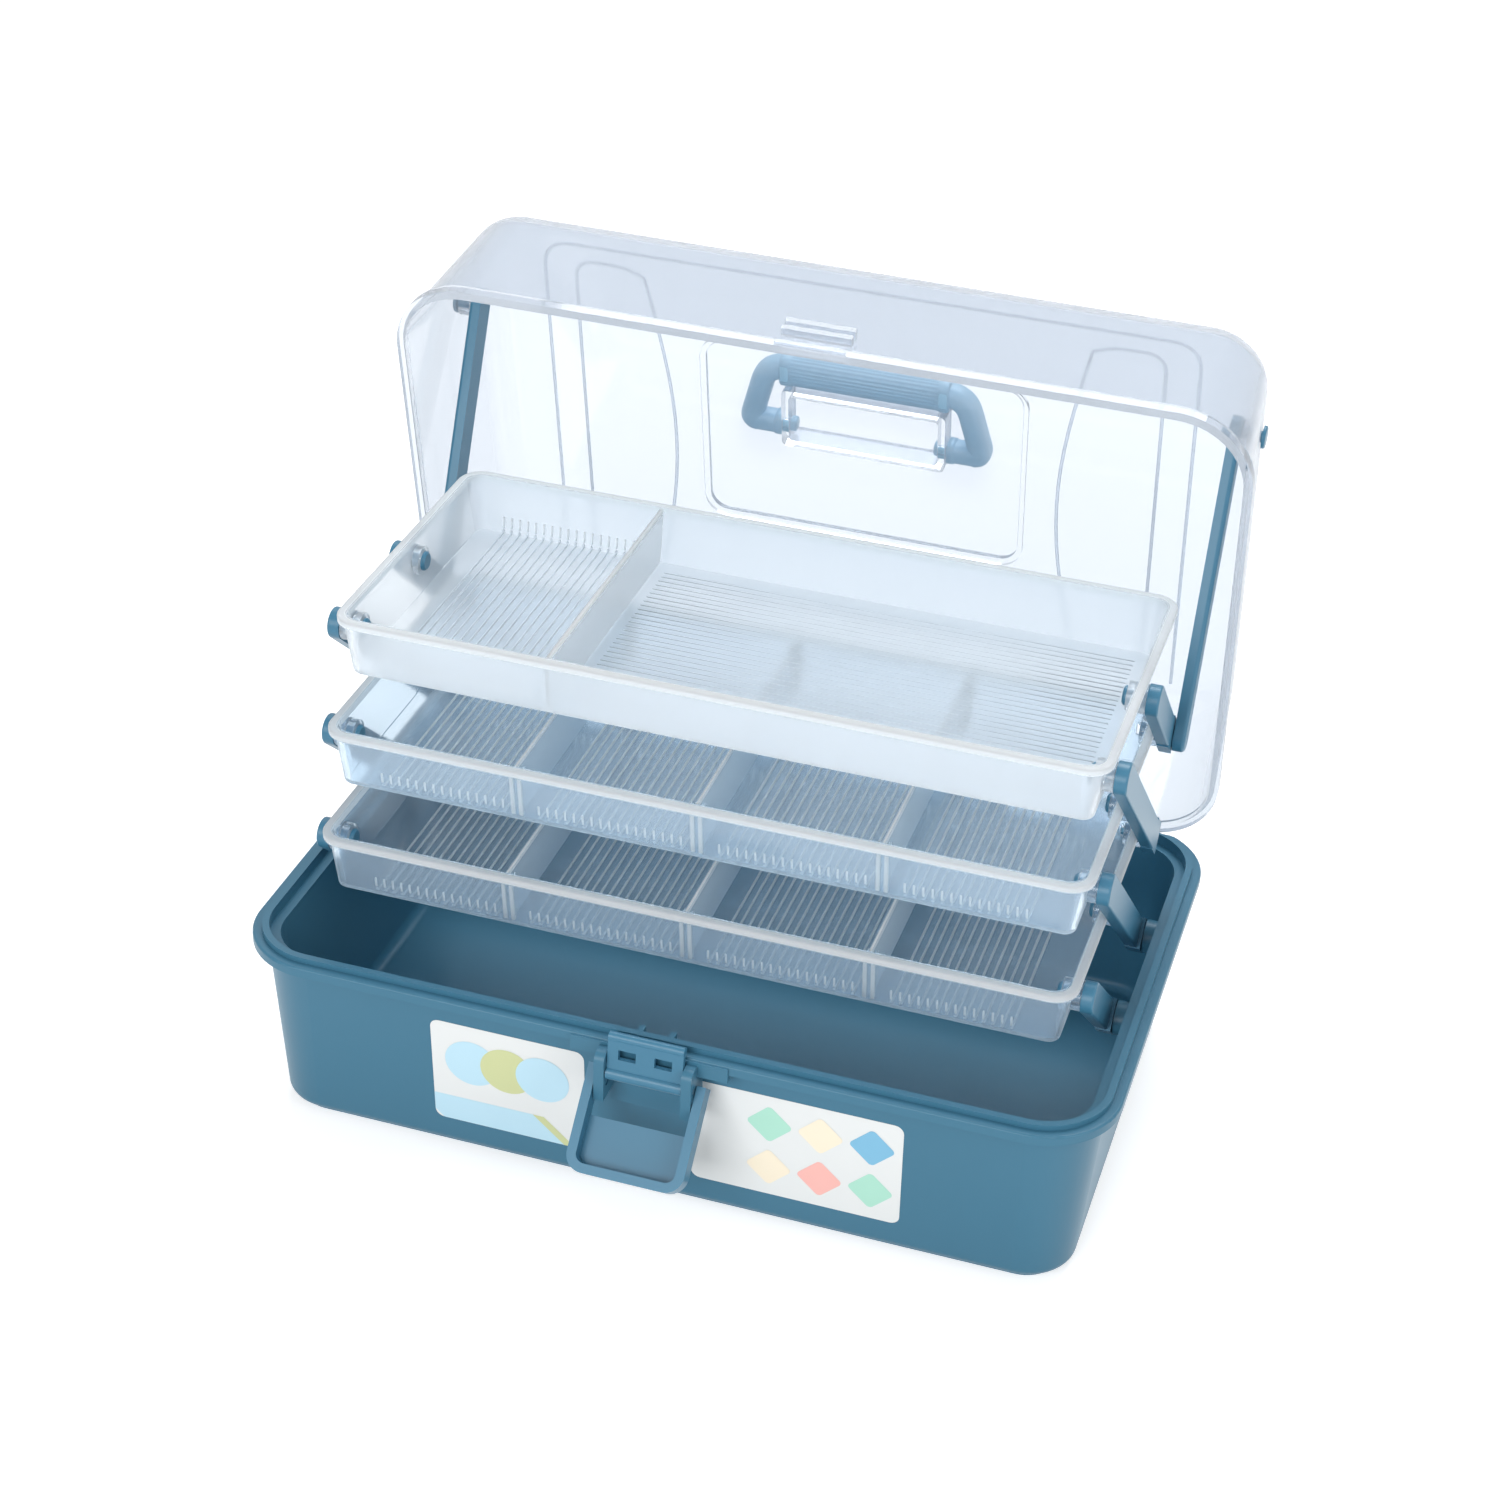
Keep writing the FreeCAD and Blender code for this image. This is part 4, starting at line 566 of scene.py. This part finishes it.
def rounded_box(left, right, low, high, radius):
    """Outline of a rectangle with quarter-circle corners."""
    turn = np.linspace(0, np.pi / 2, 6)
    left, right, low, high = left + radius, right - radius, low + radius, high - radius
    corners = ((right, low, -np.pi / 2), (right, high, 0), (left, high, np.pi / 2),
               (left, low, np.pi))
    return np.concatenate([(x, z) + radius * np.stack((np.cos(turn + start), np.sin(turn + start)),
                                                      axis=1) for x, z, start in corners])


def disc(x, z):
    """Outline of a disc: its middle plus its radius times the cosine and sine of an angle."""
    turn = np.arange(40) / 40 * 2 * np.pi
    return (x, z) + DISC_RADIUS * np.stack((np.cos(turn), np.sin(turn)), axis=1)


def diamond(x, z):
    """Outline of a square with rounded corners, turned by an eighth of a turn."""
    flat = rounded_box(-TILE_HALF, TILE_HALF, -TILE_HALF, TILE_HALF, TILE_CORNER)
    return (x, z) + math.sqrt(0.5) * flat @ [[1, 1], [-1, 1]]


white_film = printed_film("white label film", "#e0e3e3")
for name, left, right in (("label_left", -100.0, -31.0), ("label_right", 16.0, 107.0)):
    film(name, rounded_box(left, right, LABEL_LOW, LABEL_HIGH, LABEL_CORNER), FILM_LIFT,
         white_film)
inks = {name: printed_film("label film printed " + name, code) for name, code in COLOURS.items()}
motifs = [("band", [(-100, 21.5), (-96, 17.5), (-41, 17.5), (-55, 31), (-100, 31)], "sky"),
          ("stripe", [(-55, 31), (-41, 17.5), (-36, 17.5), (-50, 31)], "olive"),
          ("disc_a", disc(-82, 52), "sky"), ("disc_b", disc(-66, 52), "olive"),
          ("disc_c", disc(-50, 52), "sky")]
tiles = ((50, 57, "mint"), (72, 33, "salmon"), (94, 57, "blue"),
         (50, 33, "cream"), (72, 57, "cream"), (94, 33, "mint"))
motifs += [("tile_%d" % number, diamond(x, z), ink) for number, (x, z, ink) in enumerate(tiles)]
for number, (name, outline, ink) in enumerate(motifs):
    film("label_" + name, outline, PRINT_LIFT + PRINT_STEP * (number % 5), inks[ink])


# Floor, light and camera

FLOOR_REACH = 12.0
FLOOR_GLOW = 0.5
FADE_START, FADE_END = 0.8, 2.0
WORLD_LIGHT, WORLD_SEEN = 0.32, 1.0

# Lamps that face the toolbox: place, width and height, and power in watts
TOOLBOX_MIDDLE = (0.0, 0.0, 0.1)
SOFTBOXES = {"key": ((-0.5, -2.1, 1.1), (1.4, 1.2), 33),
             "fill": ((1.9, -0.9, 1.0), (1.4, 1.4), 17),
             "top": ((0.0, 1.25, 2.2), (1.8, 1.2), 47)}

# Camera: the photograph's side, focal length and centre of view in its pixels, then the place in
# metres, the angles in degrees and the sensor in millimetres
PHOTO_SIDE = 1512
FOCAL_LENGTH = 2924.12
VIEW_CENTRE = (781.91, 748.92)
CAMERA_PLACE = (0.30405, -1.00990, 0.82786)
CAMERA_ANGLES = (15.90, 32.18, 2.76)
SENSOR_WIDTH = 36.0


def seen(tree):
    """One where a surface is seen straight, in a reflection or through clear plastic, else zero."""
    rays = add(tree, "ShaderNodeLightPath").outputs
    direct = add(tree, "ShaderNodeMath", {"operation": "MAXIMUM"}, i0=rays["Is Camera Ray"],
                 i1=rays["Is Transmission Ray"])
    return add(tree, "ShaderNodeMath", {"operation": "MAXIMUM"}, i0=direct.outputs[0],
               i1=rays["Is Glossy Ray"]).outputs[0]


def pale_floor():
    """Matt white paper on a table: it lights the toolbox as plain paper does, and where it is
    seen it glows a little and fades to plain white far from the toolbox."""
    made, tree = material("pale floor")
    paint = add(tree, "ShaderNodeBsdfDiffuse", Color=linear("#ebebeb"))
    glow = add(tree, "ShaderNodeEmission", Color=(1, 1, 1, 1), Strength=FLOOR_GLOW)
    near = add(tree, "ShaderNodeAddShader", i0=paint.outputs[0], i1=glow.outputs[0])
    place = add(tree, "ShaderNodeTexCoord").outputs["Object"]
    distance = add(tree, "ShaderNodeVectorMath", {"operation": "LENGTH"}, i0=place)
    far = add(tree, "ShaderNodeMapRange", {"interpolation_type": "SMOOTHSTEP"},
              Value=distance.outputs["Value"], From_Min=FADE_START, From_Max=FADE_END)
    white = add(tree, "ShaderNodeEmission", Color=(1, 1, 1, 1), Strength=1.0)
    shown = add(tree, "ShaderNodeMixShader", i0=far.outputs["Result"], i1=near.outputs[0],
                i2=white.outputs[0])
    whole = add(tree, "ShaderNodeMixShader", i0=seen(tree), i1=paint.outputs[0],
                i2=shown.outputs[0])
    add(tree, "ShaderNodeOutputMaterial", Surface=whole.outputs[0])
    return made


def studio():
    """The floor, and a white surround that is bright where it is seen and dimmer as a light."""
    mesh = bpy.data.meshes.new("floor")
    corners = [(x * FLOOR_REACH, y * FLOOR_REACH, 0)
               for x, y in ((-1, -1), (1, -1), (1, 1), (-1, 1))]
    mesh.from_pydata(corners, [], [(0, 1, 2, 3)])
    mesh.materials.append(pale_floor())
    floor = bpy.data.objects.new("floor", mesh)
    bpy.context.scene.collection.objects.link(floor)
    world = bpy.data.worlds.new("studio")
    bpy.context.scene.world = world
    world.use_nodes = True
    tree = world.node_tree
    tree.nodes.clear()
    level = add(tree, "ShaderNodeMapRange", Value=seen(tree), To_Min=WORLD_LIGHT,
                To_Max=WORLD_SEEN)
    sky = add(tree, "ShaderNodeBackground", Color=(1, 1, 1, 1), Strength=level.outputs["Result"])
    add(tree, "ShaderNodeOutputWorld", Surface=sky.outputs[0])


def softbox(name, place, size, power):
    """A rectangular lamp that faces the toolbox."""
    lamp = bpy.data.lights.new(name, "AREA")
    lamp.shape = "RECTANGLE"
    lamp.size, lamp.size_y = size
    lamp.energy = power
    made = bpy.data.objects.new(name, lamp)
    bpy.context.scene.collection.objects.link(made)
    made.location = place
    aim = Vector(TOOLBOX_MIDDLE) - Vector(place)
    made.rotation_euler = aim.to_track_quat("-Z", "Y").to_euler()


def camera():
    """Camera at the photograph's place. CAMERA_ANGLES are its turn to the right, its rise above
    the floor and its slight roll. The focal length over the photograph's side gives the lens, and
    the centre of view gives the shift."""
    turn, rise, roll = np.radians(CAMERA_ANGLES)
    back = np.array([np.sin(turn) * np.cos(rise), -np.cos(turn) * np.cos(rise), np.sin(rise)])
    right = np.array([np.cos(turn), np.sin(turn), 0.0])
    up = np.cross(back, right)
    axes = np.eye(4)
    axes[:3, 0] = np.cos(roll) * right + np.sin(roll) * up
    axes[:3, 1] = -np.sin(roll) * right + np.cos(roll) * up
    axes[:3, 2] = back
    axes[:3, 3] = CAMERA_PLACE
    lens = bpy.data.cameras.new("camera")
    lens.sensor_width = SENSOR_WIDTH
    lens.lens = SENSOR_WIDTH * FOCAL_LENGTH / PHOTO_SIDE
    lens.shift_x = (PHOTO_SIDE / 2 - VIEW_CENTRE[0]) / PHOTO_SIDE
    lens.shift_y = (VIEW_CENTRE[1] - PHOTO_SIDE / 2) / PHOTO_SIDE
    made = bpy.data.objects.new("camera", lens)
    bpy.context.scene.collection.objects.link(made)
    made.matrix_world = Matrix(axes.tolist())
    bpy.context.scene.camera = made


studio()
for name, (place, size, power) in SOFTBOXES.items():
    softbox(name, place, size, power)
camera()
bpy.context.scene.view_settings.view_transform = "Standard"
